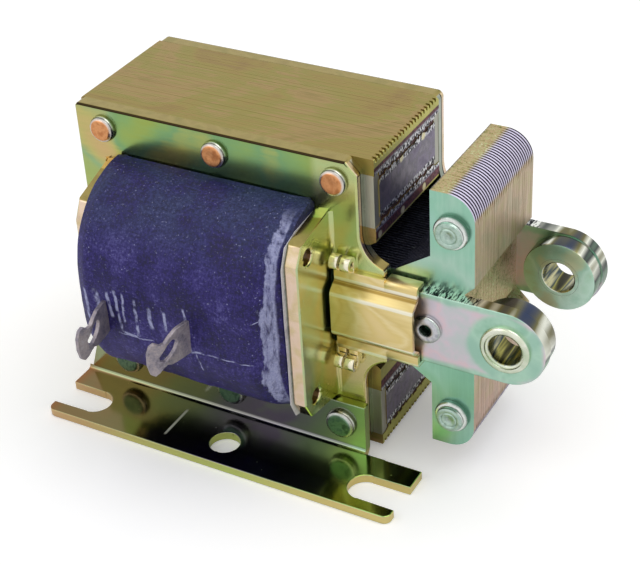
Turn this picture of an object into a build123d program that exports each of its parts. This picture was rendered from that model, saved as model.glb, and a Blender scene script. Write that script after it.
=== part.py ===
from build123d import *
import os

# Laminated pull solenoid with a T-shaped plunger, at rest with the plunger part way out.
# X points the way the plunger is pulled, -Y is the side with the solder lugs, Z is up.
# The origin lies on the base plane, midway between the feet and midway along them.
# All lengths are millimetres.

# Field frame
frame_bottom = 1.0
lower_yoke_height = 12.2
window_half_height = 21.6
upper_yoke_height = 10.7
pole_face_x = 29.1
stack_length = 65.0
stack_depth = 27.7
back_yoke_width = 9.8
pole_tip_width = 11.0
mouth_gap = 3.9
pole_chamfer_run = 1.6
pole_chamfer_rise = 1.1

# Shading coils in the pole faces
shading_bar = 2.0
shading_height = 11.2
shading_depth = 2.0
upper_shading_inset = 3.4
lower_shading_inset = 2.4
shading_recess = 0.15
groove_clearance = 0.06

# Side plates with the coil flanges bent out of them
plate_thickness = 2.8
plate_left_setback = 0.3
front_plate_setback = 2.1
rear_plate_setback = 0.1
front_plate_corner_cut = 2.4
rear_plate_corner_cut = 0.8
plate_corner_radius = 1.0
ear_reach = 5.0
ear_width = 2.4
ear_sweep_rise = 6.5
strap_slot_clearance = 0.35
coil_flange_reach = 13.0
right_flange_shoulder_drop = 1.8
left_flange_shoulder_drop = 3.6
coil_flange_corner_run = 2.0
coil_flange_corner_drop = 3.8
coil_flange_hole_radius = 1.6
coil_flange_hole_drop = 5.6
coil_flange_hole_inset = 4.3
bend_inner_radius = 1.0

# Mounting brackets
bracket_thickness = 1.9
bracket_overhang = 4.5
foot_width = 15.85
leg_gap_to_window = 0.2
leg_overhang = 0.6
leg_left_lean = 4.0
foot_notch_gap = 0.6
foot_corner_radius = 1.6
slot_width = 7.1
slot_depth = 8.1
mounting_row_inset = 6.3
centre_hole_radius = 3.2

# Rivets
rivet_clearance = 0.05
frame_rivet_radius = 1.9
frame_rivet_head_radius = 2.8
frame_rivet_head_height = 1.5
frame_rivet_end_inset = 6.8
frame_rivets_per_row = 3
upper_rivet_drop = 4.4
lower_rivet_rise = 6.8
bracket_rivet_head_radius = 3.3
plunger_rivet_radius = 2.2
plunger_rivet_head_radius = 3.5
plunger_rivet_head_height = 2.2
plunger_rivet_end_distance = 7.7
strap_rivet_radius = 2.1
strap_rivet_head_radius = 2.95
covered_rivet_head_radius = 2.5
strap_rivet_head_height = 1.1
strap_rivet_bore_radius = 1.2
head_top_share = 0.8

# Plunger
plunger_gap = 11.0
plunger_seat_gap = 0.1
plunger_head_width = 8.95
plunger_half_height = 28.7
plunger_side_gap = 0.2
plunger_plate_thickness = 2.4
plunger_leg_half_height = 9.8
plunger_shoulder_rise = 4.8
plunger_shoulder_run = 7.3
plunger_corner_radius = 5.5
plunger_notch_half_height = 9.9
plunger_notch_depth = 3.0
plunger_leg_end_gap = 0.4

# Links on the plunger
strap_thickness = 2.6
strap_half_height = 7.85
strap_end_gap = 0.6
link_bore_radius = 3.175
link_bore_reach = 16.3
strap_inner_radius = 3.0
strap_rivet_near = 0.4
covered_rivet_gap = 0.3
washer_inset = 0.35
washer_thickness = 3.75
bushing_wall = 0.95
bushing_rim_width = 0.875
bushing_rim_height = 1.0
bushing_clearance = 0.04

# Coil
coil_end_gap = 0.25
bobbin_wall = 1.0
bobbin_clearance = 0.35
bobbin_flange_thickness = 1.1
bobbin_flange_inset = 1.6
coil_bulge = 19.65
coil_right_tuck = 6.1
coil_window_clearance = 0.2
coil_rise = 1.8
coil_plate_gap = 0.1
coil_face_radius = 17.5
coil_end_radius = 12.0
coil_left_tuck = 1.4
coil_left_shoulder = 2.4
coil_right_shoulder = 4.2
skin_edge = 0.5
tape_thickness = 0.8

# Solder lugs
lug_width = 7.4
lug_thickness = 0.8
lug_reach = 11.4
lug_tip_radius = 2.6
lug_slot_length = 4.6
lug_slot_width = 1.8
lug_slot_from_tip = 4.9
lug_turn = 10.0
lug_pad_length = 5.0
lug_height_drop = 2.6
left_lug_inset = 7.65
right_lug_inset = 17.65
lead_radius = 0.5
lead_drop = 2.0
lead_end_gap = 0.2
pocket_clearance = 0.04

# Brass guides over the strap slots
guide_sheet = 0.9
guide_gap_to_flange = 0.2
guide_gap_to_bushing = 1.4
guide_overlap = 0.8
guide_channel_rise = 3.05
guide_rivet_gap = 1.05
guide_channel_slope = 1.6
guide_lip_gap = 0.3
guide_tang_width = 5.0
guide_tang_length = 2.6
guide_tang_roll_radius = 1.5

# Places worked out from the sizes above
window_bottom = frame_bottom + lower_yoke_height
axis_height = window_bottom + window_half_height
frame_top = axis_height + window_half_height + upper_yoke_height
mouth_half_height = plunger_leg_half_height + mouth_gap
travel_in = plunger_gap - plunger_seat_gap
stack_left_x = pole_face_x - stack_length
window_left_x = stack_left_x + back_yoke_width
window_right_x = pole_face_x - pole_tip_width
half_stack = stack_depth / 2
plate_outer_y = half_stack + plate_thickness
bracket_outer_y = plate_outer_y + bracket_thickness
plate_left_x = stack_left_x + plate_left_setback
front_plate_right_x = pole_face_x - front_plate_setback
ear_tip_x = front_plate_right_x + ear_reach
strap_slot_half_height = strap_half_height + strap_slot_clearance
ear_half_height = strap_slot_half_height + ear_width
coil_flange_y = plate_outer_y + coil_flange_reach
leg_top = window_bottom - leg_gap_to_window
leg_right_x = front_plate_right_x + leg_overhang
bracket_half_length = bracket_overhang - stack_left_x
foot_front_y = bracket_outer_y + foot_width
mounting_row_y = foot_front_y - mounting_row_inset
slot_centre_x = bracket_half_length - slot_depth
upper_rivet_z = frame_top - upper_rivet_drop
lower_rivet_z = frame_bottom + lower_rivet_rise
plunger_inner_x = pole_face_x + plunger_gap
plunger_outer_x = plunger_inner_x + plunger_head_width
plunger_leg_end_x = window_left_x + plunger_gap + plunger_leg_end_gap
half_plunger = half_stack - plunger_side_gap
plunger_shoulder_half_height = plunger_leg_half_height + plunger_shoulder_rise
plunger_rivet_offset = plunger_half_height - plunger_rivet_end_distance
half_plunger_stack = half_plunger - plunger_plate_thickness
strap_outer_y = half_plunger + strap_thickness
link_bore_x = plunger_inner_x + link_bore_reach
strap_inner_x = window_right_x + travel_in + strap_end_gap
covered_rivet_x = window_right_x + plate_thickness + travel_in + covered_rivet_head_radius + covered_rivet_gap
bushing_radius = link_bore_radius + bushing_wall
bushing_rim_radius = bushing_radius + bushing_rim_width
washer_radius = strap_half_height - washer_inset
coil_left_x = window_left_x + coil_end_gap
coil_right_x = window_right_x - coil_end_gap
coil_half_height = window_half_height - coil_window_clearance
coil_half_depth = plate_outer_y + coil_bulge
coil_end_half_depth = coil_half_depth - coil_right_tuck
left_lug_x = coil_left_x + left_lug_inset
right_lug_x = coil_right_x - right_lug_inset
lug_z = axis_height - lug_height_drop
guide_left_x = window_right_x + plate_thickness + guide_gap_to_flange
guide_right_x = link_bore_x - bushing_rim_radius - travel_in - guide_gap_to_bushing
guide_half_height = strap_slot_half_height + guide_overlap
guide_channel_half_height = strap_rivet_head_radius + guide_rivet_gap
guide_tang_half_height = guide_half_height + guide_tang_length


def slab(face, y_low, y_high):
    """Extrude a face drawn in X and Z from y_low to y_high."""
    return extrude(Plane.XZ.offset(-y_high) * face, y_high - y_low, dir=(0, -1, 0))


def panel(face, x_low, x_high):
    """Extrude a face drawn in Y and Z from x_low to x_high."""
    return extrude(Plane.YZ.offset(x_low) * face, x_high - x_low, dir=(1, 0, 0))


def rectangle_between(u_low, v_low, u_high, v_high):
    """Return a rectangle with its corners at the two given points."""
    centre = ((u_low + u_high) / 2, (v_low + v_high) / 2)
    return Pos(*centre) * Rectangle(u_high - u_low, v_high - v_low)


def block(x_low, x_high, y_low, y_high, z_low, z_high):
    """Return a box between two corners."""
    size = (x_high - x_low, y_high - y_low, z_high - z_low)
    centre = ((x_low + x_high) / 2, (y_low + y_high) / 2, (z_low + z_high) / 2)
    return Pos(*centre) * Box(*size)


def rod(x, z, radius, y_low, y_high):
    """Return a round bar along Y."""
    return slab(Pos(x, z) * Circle(radius), y_low, y_high)


def rear_copy(solid):
    """Return the twin of a piece on the far side of the frame's middle plane."""
    return mirror(solid, about=Plane.XZ)


def rivet_head(x, z, radius, height, y_seat, outward):
    """Return a rivet head that tapers away from the face it sits on."""
    seat = Plane.XZ.offset(-y_seat) * Pos(x, z) * Circle(radius)
    tip = Plane.XZ.offset(-y_seat - outward * height) * Pos(x, z) * Circle(radius * head_top_share)
    return loft([seat.face(), tip.face()])


def through_rivet(x, z, radius, head_radius, head_height, half_grip):
    """Return a rivet through the whole depth with a head on each side."""
    shank = rod(x, z, radius, -half_grip, half_grip)
    near = rivet_head(x, z, head_radius, head_height, -half_grip, -1)
    far = rivet_head(x, z, head_radius, head_height, half_grip, 1)
    return shank + near + far


def frame_rivet_row():
    """Return the X places of the rivets in one row of the frame."""
    pitch = (stack_length - 2 * frame_rivet_end_inset) / (frame_rivets_per_row - 1)
    first_x = stack_left_x + frame_rivet_end_inset
    return [first_x + index * pitch for index in range(frame_rivets_per_row)]


def frame_rivet_holes(y_low, y_high, rows):
    """Return the rods that cut the frame rivet holes."""
    hole_radius = frame_rivet_radius + rivet_clearance
    return [rod(x, z, hole_radius, y_low, y_high) for z in rows for x in frame_rivet_row()]


def shading_centre(side):
    """Return the height of the middle of the upper (1) or lower (-1) shading coil."""
    if side > 0:
        return frame_top - upper_shading_inset - shading_height / 2
    return frame_bottom + lower_shading_inset + shading_height / 2


def shading_loop(side, gap, x_low, x_high):
    """Return the rectangular loop of a shading coil, grown by a gap on its faces."""
    z = shading_centre(side)
    half_z = shading_height / 2
    inner_z = half_z - shading_bar
    inner_y = half_stack - shading_bar
    outer = rectangle_between(-half_stack, z - half_z - gap, half_stack, z + half_z + gap)
    inner = rectangle_between(-inner_y + gap, z - inner_z + gap, inner_y - gap, z + inner_z - gap)
    return panel(outer - inner, x_low, x_high)


def field_lamination_stack():
    """Return the riveted stack of frame laminations with its two poles."""
    outline = rectangle_between(stack_left_x, frame_bottom, pole_face_x, frame_top)
    outline -= rectangle_between(
        window_left_x, axis_height - window_half_height, window_right_x, axis_height + window_half_height)
    outline -= rectangle_between(
        window_right_x, axis_height - mouth_half_height, pole_face_x, axis_height + mouth_half_height)
    for side in (-1, 1):
        tip = (pole_face_x - pole_chamfer_run, axis_height + side * mouth_half_height)
        face = (pole_face_x, axis_height + side * (mouth_half_height + pole_chamfer_rise))
        corner = (pole_face_x, axis_height + side * mouth_half_height)
        outline -= Polygon(tip, face, corner, align=None)
    stack = slab(outline, -half_stack, half_stack)
    groove_floor = pole_face_x - shading_recess - shading_depth - groove_clearance
    for side in (-1, 1):
        stack -= shading_loop(side, groove_clearance, groove_floor, pole_face_x)
    stack -= frame_rivet_holes(-half_stack, half_stack, (upper_rivet_z, lower_rivet_z))
    return stack


def shading_coil(side):
    """Return one copper shading coil, sunk in its pole face."""
    front = pole_face_x - shading_recess
    return shading_loop(side, 0, front - shading_depth, front)


def flange_outline(shoulder_drop):
    """Return the coil flange outline in Y and Z on the front side."""
    top = window_half_height - coil_end_gap
    shoulder = top - shoulder_drop
    corner = shoulder - coil_flange_corner_drop
    points = [
        (-plate_outer_y, top),
        (-coil_flange_y + coil_flange_corner_run, shoulder),
        (-coil_flange_y, corner),
    ]
    lower = [(y, -z) for y, z in reversed(points)]
    return Pos(0, axis_height) * Polygon(*points, *lower, align=None)


def bent_corner(x, y, z_low, z_high, x_side, y_side, radius):
    """Return the sliver between a square corner and a round one, along Z."""
    x_far = x + x_side * radius
    y_far = y + y_side * radius
    corner = block(min(x, x_far), max(x, x_far), min(y, y_far), max(y, y_far), z_low, z_high)
    round_bar = Pos(x_far, y_far, (z_low + z_high) / 2) * Cylinder(radius, z_high - z_low)
    return corner - round_bar


def coil_flange(face_x, inward, shoulder_drop):
    """Return one coil flange of the front plate, between its inner face and its outer face."""
    x_far = face_x - inward * plate_thickness
    flange = panel(flange_outline(shoulder_drop), min(face_x, x_far), max(face_x, x_far))
    for side in (-1, 1):
        z = axis_height + side * (window_half_height - coil_flange_hole_drop)
        y = -coil_flange_y + coil_flange_hole_inset
        drill = Pos((face_x + x_far) / 2, y, z) * Rot(0, 90, 0) * Cylinder(
            coil_flange_hole_radius, plate_thickness * 2)
        flange -= drill
    return flange


def side_plate_outline(right_x, corner_cut):
    """Return the flat outline of a side plate, with its ears and its strap slot."""
    outline = rectangle_between(plate_left_x, frame_bottom, right_x, frame_top)
    right = outline.vertices().group_by(Axis.X)[-1]
    outline = chamfer(right, corner_cut)
    left = outline.vertices().group_by(Axis.X)[0]
    outline = fillet(left, plate_corner_radius)
    reach = ear_tip_x - right_x
    sweep_radius = (reach ** 2 + ear_sweep_rise ** 2) / (2 * reach)
    sweep_half_height = ear_half_height + ear_sweep_rise
    ears = rectangle_between(
        right_x, axis_height - sweep_half_height, ear_tip_x, axis_height + sweep_half_height)
    for side in (-1, 1):
        ears -= Pos(right_x + sweep_radius, axis_height + side * sweep_half_height) * Circle(sweep_radius)
    outline += ears
    outline -= rectangle_between(
        window_left_x, axis_height - window_half_height, window_right_x, axis_height + window_half_height)
    outline -= rectangle_between(
        window_right_x, axis_height - strap_slot_half_height, ear_tip_x, axis_height + strap_slot_half_height)
    return outline


def side_plate(right_x, corner_cut):
    """Return a front side plate that ends at right_x, with both coil flanges."""
    plate = slab(side_plate_outline(right_x, corner_cut), -plate_outer_y, -half_stack)
    plate += coil_flange(window_right_x, -1, right_flange_shoulder_drop)
    plate += coil_flange(window_left_x, 1, left_flange_shoulder_drop)
    z_low = axis_height - window_half_height
    z_high = axis_height + window_half_height
    flange_low = z_low + coil_end_gap
    flange_high = z_high - coil_end_gap
    outer_radius = bend_inner_radius + plate_thickness
    for window_x, side in ((window_right_x, 1), (window_left_x, -1)):
        plate -= bent_corner(window_x, -half_stack, z_low, z_high, side, -1, outer_radius)
        inner_x = window_x + side * plate_thickness
        ranges = [(flange_low, flange_high)]
        if side > 0:
            clear = guide_tang_half_height + guide_tang_roll_radius + guide_gap_to_flange
            ranges = [(flange_low, axis_height - clear), (axis_height + clear, flange_high)]
        for low, high in ranges:
            plate += bent_corner(inner_x, -plate_outer_y, low, high, side, -1, bend_inner_radius)
    plate -= frame_rivet_holes(-plate_outer_y, -half_stack, (upper_rivet_z, lower_rivet_z))
    return plate


def mounting_bracket():
    """Return the front mounting bracket: an upright leg on the frame and a slotted foot."""
    leg_outline = Polygon(
        (-bracket_half_length, 0),
        (leg_right_x, 0),
        (leg_right_x, leg_top),
        (-bracket_half_length + leg_left_lean, leg_top),
        align=None)
    leg = slab(leg_outline, -bracket_outer_y, -plate_outer_y)
    foot = block(-bracket_half_length, bracket_half_length, -foot_front_y, -plate_outer_y,
                 0, bracket_thickness)
    notch_y = -bracket_outer_y - foot_notch_gap
    foot -= block(leg_right_x, bracket_half_length, notch_y, -plate_outer_y, 0, bracket_thickness)
    corners = foot.edges().filter_by(Axis.Z).sort_by(Axis.Y)[:2]
    foot = fillet(corners, foot_corner_radius)
    bracket = leg + foot
    outer_radius = bend_inner_radius + bracket_thickness
    length = bracket_half_length + leg_right_x
    middle_x = (leg_right_x - bracket_half_length) / 2
    heel = block(-bracket_half_length, leg_right_x, -plate_outer_y - outer_radius, -plate_outer_y,
                 0, outer_radius)
    heel -= Pos(middle_x, -plate_outer_y - outer_radius, outer_radius) * Rot(0, 90, 0) * Cylinder(
        outer_radius, length)
    bracket -= heel
    inner_y = -bracket_outer_y - bend_inner_radius
    inner_z = bracket_thickness + bend_inner_radius
    fill = block(-bracket_half_length, leg_right_x, inner_y, -bracket_outer_y, bracket_thickness, inner_z)
    fill -= Pos(middle_x, inner_y, inner_z) * Rot(0, 90, 0) * Cylinder(bend_inner_radius, length)
    bracket += fill
    for side in (-1, 1):
        x = side * slot_centre_x
        slot = Pos(x, -mounting_row_y, bracket_thickness / 2) * Cylinder(slot_width / 2, bracket_thickness * 2)
        open_end = side * (bracket_half_length + 1)
        slot += block(min(x, open_end), max(x, open_end), -mounting_row_y - slot_width / 2,
                      -mounting_row_y + slot_width / 2, -bracket_thickness, bracket_thickness * 2)
        bracket -= slot
    bracket -= Pos(0, -mounting_row_y, 0) * Cylinder(centre_hole_radius, bracket_thickness * 4)
    bracket -= frame_rivet_holes(-bracket_outer_y, -plate_outer_y, (lower_rivet_z,))
    return bracket


def frame_rivets(z, head_radius, half_grip):
    """Return one row of three frame rivets."""
    return Compound([
        through_rivet(x, z, frame_rivet_radius, head_radius, frame_rivet_head_height, half_grip)
        for x in frame_rivet_row()
    ])


def coil_section(x, half_depth, half_height, radius, rise):
    """Return the rounded section of the coil in a plane across X, its top raised by a rise."""
    section = RectangleRounded(2 * half_depth, 2 * half_height + rise, min(radius, half_height - skin_edge))
    return (Plane.YZ.offset(x) * Pos(0, axis_height + rise / 2) * section).face()


def coil_loft(skin, rise):
    """Return the coil's body at one height, full at the left and tucked in at the right."""
    sections = [
        (coil_left_x, coil_half_depth - coil_left_tuck, coil_face_radius),
        (coil_left_x + coil_left_shoulder, coil_half_depth, coil_face_radius),
        (coil_right_x - coil_right_shoulder, coil_half_depth, coil_face_radius),
        (coil_right_x, coil_end_half_depth, coil_end_radius),
    ]
    faces = [
        coil_section(x, half_depth - skin, coil_half_height - skin, radius - skin, rise)
        for x, half_depth, radius in sections
    ]
    return loft(faces, ruled=True)


def coil_form(skin):
    """Return the coil's body: it fills the window and stands higher outside the plates."""
    step_y = plate_outer_y + coil_plate_gap + skin
    middle = block(coil_left_x, coil_right_x, -step_y, step_y, 0, frame_top)
    return (coil_loft(skin, 0) & middle) + (coil_loft(skin, coil_rise) - middle)


def bobbin_tube(growth, x_low, x_high):
    """Return the bar that fills the bobbin's bore, grown on all four sides."""
    half_y = half_plunger + bobbin_clearance + growth
    half_z = plunger_leg_half_height + bobbin_clearance + growth
    return block(x_low, x_high, -half_y, half_y, axis_height - half_z, axis_height + half_z)


def coil_bobbin():
    """Return the insulating bobbin that carries the winding and guides the plunger."""
    flange_half_y = coil_end_half_depth - bobbin_flange_inset
    flange_half_z = coil_half_height - bobbin_flange_inset
    bobbin = bobbin_tube(bobbin_wall, coil_left_x, coil_right_x)
    for x in (coil_left_x, coil_right_x - bobbin_flange_thickness):
        section = coil_section(x, flange_half_y, flange_half_z, coil_end_radius, 0)
        bobbin += extrude(section, bobbin_flange_thickness, dir=(1, 0, 0))
    bobbin -= bobbin_tube(0, coil_left_x, coil_right_x)
    return bobbin


def lug_pad_y():
    """Return the outer face of the pads that the lugs stand on."""
    return -(coil_half_depth - tape_thickness - lug_thickness)


def lug_pad(x, gap):
    """Return the part of a lug that lies under the tape, grown by a gap."""
    half_z = lug_width / 2 + gap
    y = lug_pad_y()
    return block(x - gap, x + lug_pad_length + gap, y - gap, y + lug_thickness + gap,
                 lug_z - half_z, lug_z + half_z)


def lug_tab(x, gap):
    """Return the slotted part of a lug that stands out through the tape."""
    half_z = lug_width / 2
    root = -lug_reach - tape_thickness - lug_thickness
    tab = rectangle_between(root, -half_z - gap, 0, half_z + gap)
    tip = tab.vertices().group_by(Axis.X)[0]
    tab = fillet(tip, lug_tip_radius)
    if gap == 0:
        tab -= Pos(root + lug_slot_from_tip, 0) * SlotOverall(lug_slot_length, lug_slot_width)
    solid = panel(tab, -gap, lug_thickness + gap)
    return Pos(x, lug_pad_y() + lug_thickness, lug_z) * Rot(0, 0, -lug_turn) * solid


def solder_lug(x):
    """Return one tinned solder lug: its hidden pad and its slotted tab."""
    return lug_pad(x, 0) + lug_tab(x, 0)


def lead_wire(side, growth):
    """Return the wire end that runs under the tape from a lug towards one end of the coil."""
    if side > 0:
        start = right_lug_x + lug_pad_length + lead_end_gap
        end = coil_right_x - coil_right_shoulder
    else:
        start = coil_left_x + coil_left_shoulder
        end = left_lug_x - lead_end_gap
    y = lug_pad_y() + lug_thickness / 2
    length = end - start
    place = Pos(start + length / 2, y, lug_z - lead_drop)
    return place * Rot(0, 90, 0) * Cylinder(lead_radius + growth, length)


def coil_pockets():
    """Return everything that is let into the winding and the tape."""
    pockets = []
    for side, x in ((-1, left_lug_x), (1, right_lug_x)):
        pockets.append(lug_pad(x, pocket_clearance))
        pockets.append(lug_tab(x, pocket_clearance))
        pockets.append(lead_wire(side, pocket_clearance))
    return pockets


def coil_winding():
    """Return the wound copper, which fills the space between the bobbin flanges."""
    inner_left = coil_left_x + bobbin_flange_thickness
    inner_right = coil_right_x - bobbin_flange_thickness
    reach = coil_half_depth + 1
    room = block(inner_left, inner_right, -reach, reach, 0, frame_top)
    winding = coil_form(tape_thickness) & room
    winding -= bobbin_tube(bobbin_wall, inner_left, inner_right)
    winding -= coil_pockets()
    return winding


def coil_tape():
    """Return the tape wrapped round the winding and the bobbin flanges."""
    tape = coil_form(0) - coil_form(tape_thickness)
    tape -= coil_pockets()
    return tape


def guide_section(thickness):
    """Return the guide's section in Y and Z: two flats and a raised channel."""
    base = -plate_outer_y
    rise = base - guide_channel_rise
    foot = guide_channel_half_height + guide_channel_slope
    inner_rise = rise + thickness
    inner_half = guide_channel_half_height - thickness / 2
    inner_foot = foot - thickness / 2
    flat = base - thickness
    outer = [
        (base, guide_half_height), (flat, guide_half_height), (flat, foot),
        (rise, guide_channel_half_height),
    ]
    inner = [(inner_rise, inner_half), (base, inner_foot)]
    outer_path = outer + [(y, -z) for y, z in reversed(outer)]
    inner_path = [(y, -z) for y, z in inner[::-1]] + inner
    return Pos(0, axis_height) * Polygon(*outer_path, *inner_path, align=None)


def plunger_guide():
    """Return the front brass guide that bridges the strap slot."""
    guide = panel(guide_section(guide_sheet), guide_left_x, guide_right_x)
    lip_y = -half_plunger - guide_lip_gap
    lip_x = ear_tip_x + guide_lip_gap
    tang_x = guide_left_x + guide_tang_width
    for side in (-1, 1):
        inner = axis_height + side * strap_slot_half_height
        outer = axis_height + side * (strap_slot_half_height + guide_sheet)
        guide += block(lip_x, guide_right_x, -plate_outer_y - guide_sheet, lip_y,
                       min(inner, outer), max(inner, outer))
        edge = axis_height + side * guide_tang_half_height
        start = axis_height + side * (guide_half_height - guide_sheet)
        guide += block(guide_left_x, tang_x, -plate_outer_y - guide_sheet, -plate_outer_y,
                       min(start, edge), max(start, edge))
        roll = Pos((guide_left_x + tang_x) / 2, -plate_outer_y - guide_tang_roll_radius, edge)
        guide += roll * Rot(0, 90, 0) * Cylinder(guide_tang_roll_radius, guide_tang_width)
    return guide


def plunger_outline():
    """Return the T outline of the plunger in X and Z."""
    shoulder_x = plunger_inner_x - plunger_shoulder_run
    points = [
        (plunger_leg_end_x, plunger_leg_half_height),
        (shoulder_x, plunger_leg_half_height),
        (plunger_inner_x, plunger_shoulder_half_height),
        (plunger_inner_x, plunger_half_height),
        (plunger_outer_x, plunger_half_height),
        (plunger_outer_x, plunger_notch_half_height),
        (plunger_outer_x - plunger_notch_depth, plunger_notch_half_height - plunger_notch_depth),
    ]
    lower = [(x, -z) for x, z in reversed(points)]
    outline = Pos(0, axis_height) * Polygon(*points, *lower, align=None)
    corners = [
        v for v in outline.vertices()
        if abs(v.X - plunger_outer_x) < 0.01
        and abs(abs(v.Y - axis_height) - plunger_half_height) < 0.01
    ]
    return fillet(corners, plunger_corner_radius)


def plunger_rivet_places():
    """Return the places of the two rivets that hold the plunger's arms together."""
    x = plunger_inner_x + plunger_head_width / 2
    return [(x, axis_height + side * plunger_rivet_offset) for side in (-1, 1)]


def strap_rivet_sizes():
    """Return the X place and the head radius of each tubular rivet that holds the straps."""
    return [
        (plunger_inner_x + strap_rivet_near, strap_rivet_head_radius),
        (covered_rivet_x, covered_rivet_head_radius),
    ]


def plunger_layer(y_low, y_high):
    """Return one layer of the plunger with its rivet holes."""
    layer = slab(plunger_outline(), y_low, y_high)
    for x, z in plunger_rivet_places():
        layer -= rod(x, z, plunger_rivet_radius + rivet_clearance, y_low, y_high)
    for x, _ in strap_rivet_sizes():
        layer -= rod(x, axis_height, strap_rivet_radius + rivet_clearance, y_low, y_high)
    return layer


def plunger_rivets():
    """Return the two solid rivets through the plunger's arms."""
    return Compound([
        through_rivet(x, z, plunger_rivet_radius, plunger_rivet_head_radius,
                      plunger_rivet_head_height, half_plunger)
        for x, z in plunger_rivet_places()
    ])


def strap_rivets():
    """Return the two tubular rivets through the straps and the plunger."""
    rivets = []
    reach = strap_outer_y + strap_rivet_head_height
    for x, head_radius in strap_rivet_sizes():
        rivet = through_rivet(x, axis_height, strap_rivet_radius, head_radius,
                              strap_rivet_head_height, strap_outer_y)
        rivets.append(rivet - rod(x, axis_height, strap_rivet_bore_radius, -reach, reach))
    return Compound(rivets)


def link_strap():
    """Return the front strap that joins the plunger to the load."""
    z_low = axis_height - strap_half_height
    z_high = axis_height + strap_half_height
    bar = rectangle_between(strap_inner_x, z_low, link_bore_x, z_high)
    inner = bar.vertices().group_by(Axis.X)[0]
    outline = fillet(inner, strap_inner_radius)
    outline += Pos(link_bore_x, axis_height) * Circle(strap_half_height)
    outline -= Pos(link_bore_x, axis_height) * Circle(bushing_radius + bushing_clearance)
    for x, _ in strap_rivet_sizes():
        outline -= Pos(x, axis_height) * Circle(strap_rivet_radius + rivet_clearance)
    return slab(outline, -strap_outer_y, -half_plunger)


def link_washer():
    """Return the thick washer on the inner side of the front strap's eye."""
    face = Circle(washer_radius) - Circle(bushing_radius + bushing_clearance)
    return slab(Pos(link_bore_x, axis_height) * face, -half_plunger, -half_plunger + washer_thickness)


def link_bushing():
    """Return the flared bushing that lines the front eye."""
    place = Pos(link_bore_x, axis_height)
    inner_y = -half_plunger + washer_thickness
    bushing = slab(place * Circle(bushing_radius), -strap_outer_y, inner_y)
    rim_y = -strap_outer_y - bushing_rim_height
    bushing += slab(place * Circle(bushing_rim_radius), rim_y, -strap_outer_y)
    rim_edge = bushing.edges().filter_by(GeomType.CIRCLE).sort_by(Axis.Y)[0]
    bushing = fillet(rim_edge, bushing_rim_height * 0.6)
    return bushing - slab(place * Circle(link_bore_radius), rim_y, inner_y)


def make_nodes():
    """Return every piece of the solenoid by its name."""
    front_plate = side_plate(front_plate_right_x, front_plate_corner_cut)
    rear_plate = rear_copy(side_plate(pole_face_x - rear_plate_setback, rear_plate_corner_cut))
    strap = link_strap()
    washer = link_washer()
    bushing = link_bushing()
    bracket = mounting_bracket()
    guide = plunger_guide()
    arm_plate = plunger_layer(-half_plunger, -half_plunger_stack)
    return {
        "field_lamination_stack": field_lamination_stack(),
        "upper_shading_coil": shading_coil(1),
        "lower_shading_coil": shading_coil(-1),
        "front_side_plate": front_plate,
        "rear_side_plate": rear_plate,
        "front_mounting_bracket": bracket,
        "rear_mounting_bracket": rear_copy(bracket),
        "upper_frame_rivets": frame_rivets(upper_rivet_z, frame_rivet_head_radius, plate_outer_y),
        "lower_frame_rivets": frame_rivets(lower_rivet_z, bracket_rivet_head_radius, bracket_outer_y),
        "coil_bobbin": coil_bobbin(),
        "coil_winding": coil_winding(),
        "coil_tape": coil_tape(),
        "left_solder_lug": solder_lug(left_lug_x),
        "right_solder_lug": solder_lug(right_lug_x),
        "left_lead_wire": lead_wire(-1, 0),
        "right_lead_wire": lead_wire(1, 0),
        "front_plunger_guide": guide,
        "rear_plunger_guide": rear_copy(guide),
        "plunger_lamination_stack": plunger_layer(-half_plunger_stack, half_plunger_stack),
        "front_plunger_plate": arm_plate,
        "rear_plunger_plate": rear_copy(arm_plate),
        "plunger_rivets": plunger_rivets(),
        "strap_rivets": strap_rivets(),
        "front_link_strap": strap,
        "rear_link_strap": rear_copy(strap),
        "front_link_washer": washer,
        "rear_link_washer": rear_copy(washer),
        "front_link_bushing": bushing,
        "rear_link_bushing": rear_copy(bushing),
    }


def main():
    """Write one STEP file for each piece."""
    os.makedirs("parts", exist_ok=True)
    for name, solid in make_nodes().items():
        export_step(solid, f"parts/{name}.step")


main()
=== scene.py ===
import math
import random
from functools import reduce

import bmesh
import bpy
from mathutils import Matrix, Vector, noise


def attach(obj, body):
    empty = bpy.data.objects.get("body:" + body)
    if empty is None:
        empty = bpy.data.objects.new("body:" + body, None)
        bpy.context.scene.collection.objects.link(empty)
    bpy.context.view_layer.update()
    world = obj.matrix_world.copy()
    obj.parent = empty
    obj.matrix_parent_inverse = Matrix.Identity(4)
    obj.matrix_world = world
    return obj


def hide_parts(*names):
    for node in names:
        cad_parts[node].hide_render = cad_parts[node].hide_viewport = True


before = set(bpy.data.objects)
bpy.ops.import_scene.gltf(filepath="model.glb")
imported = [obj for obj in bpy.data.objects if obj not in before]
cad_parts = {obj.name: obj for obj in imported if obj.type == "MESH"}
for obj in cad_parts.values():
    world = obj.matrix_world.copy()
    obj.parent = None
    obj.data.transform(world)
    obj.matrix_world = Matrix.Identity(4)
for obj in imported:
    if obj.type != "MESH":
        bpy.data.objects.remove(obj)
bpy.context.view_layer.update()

MM = 0.001

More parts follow.
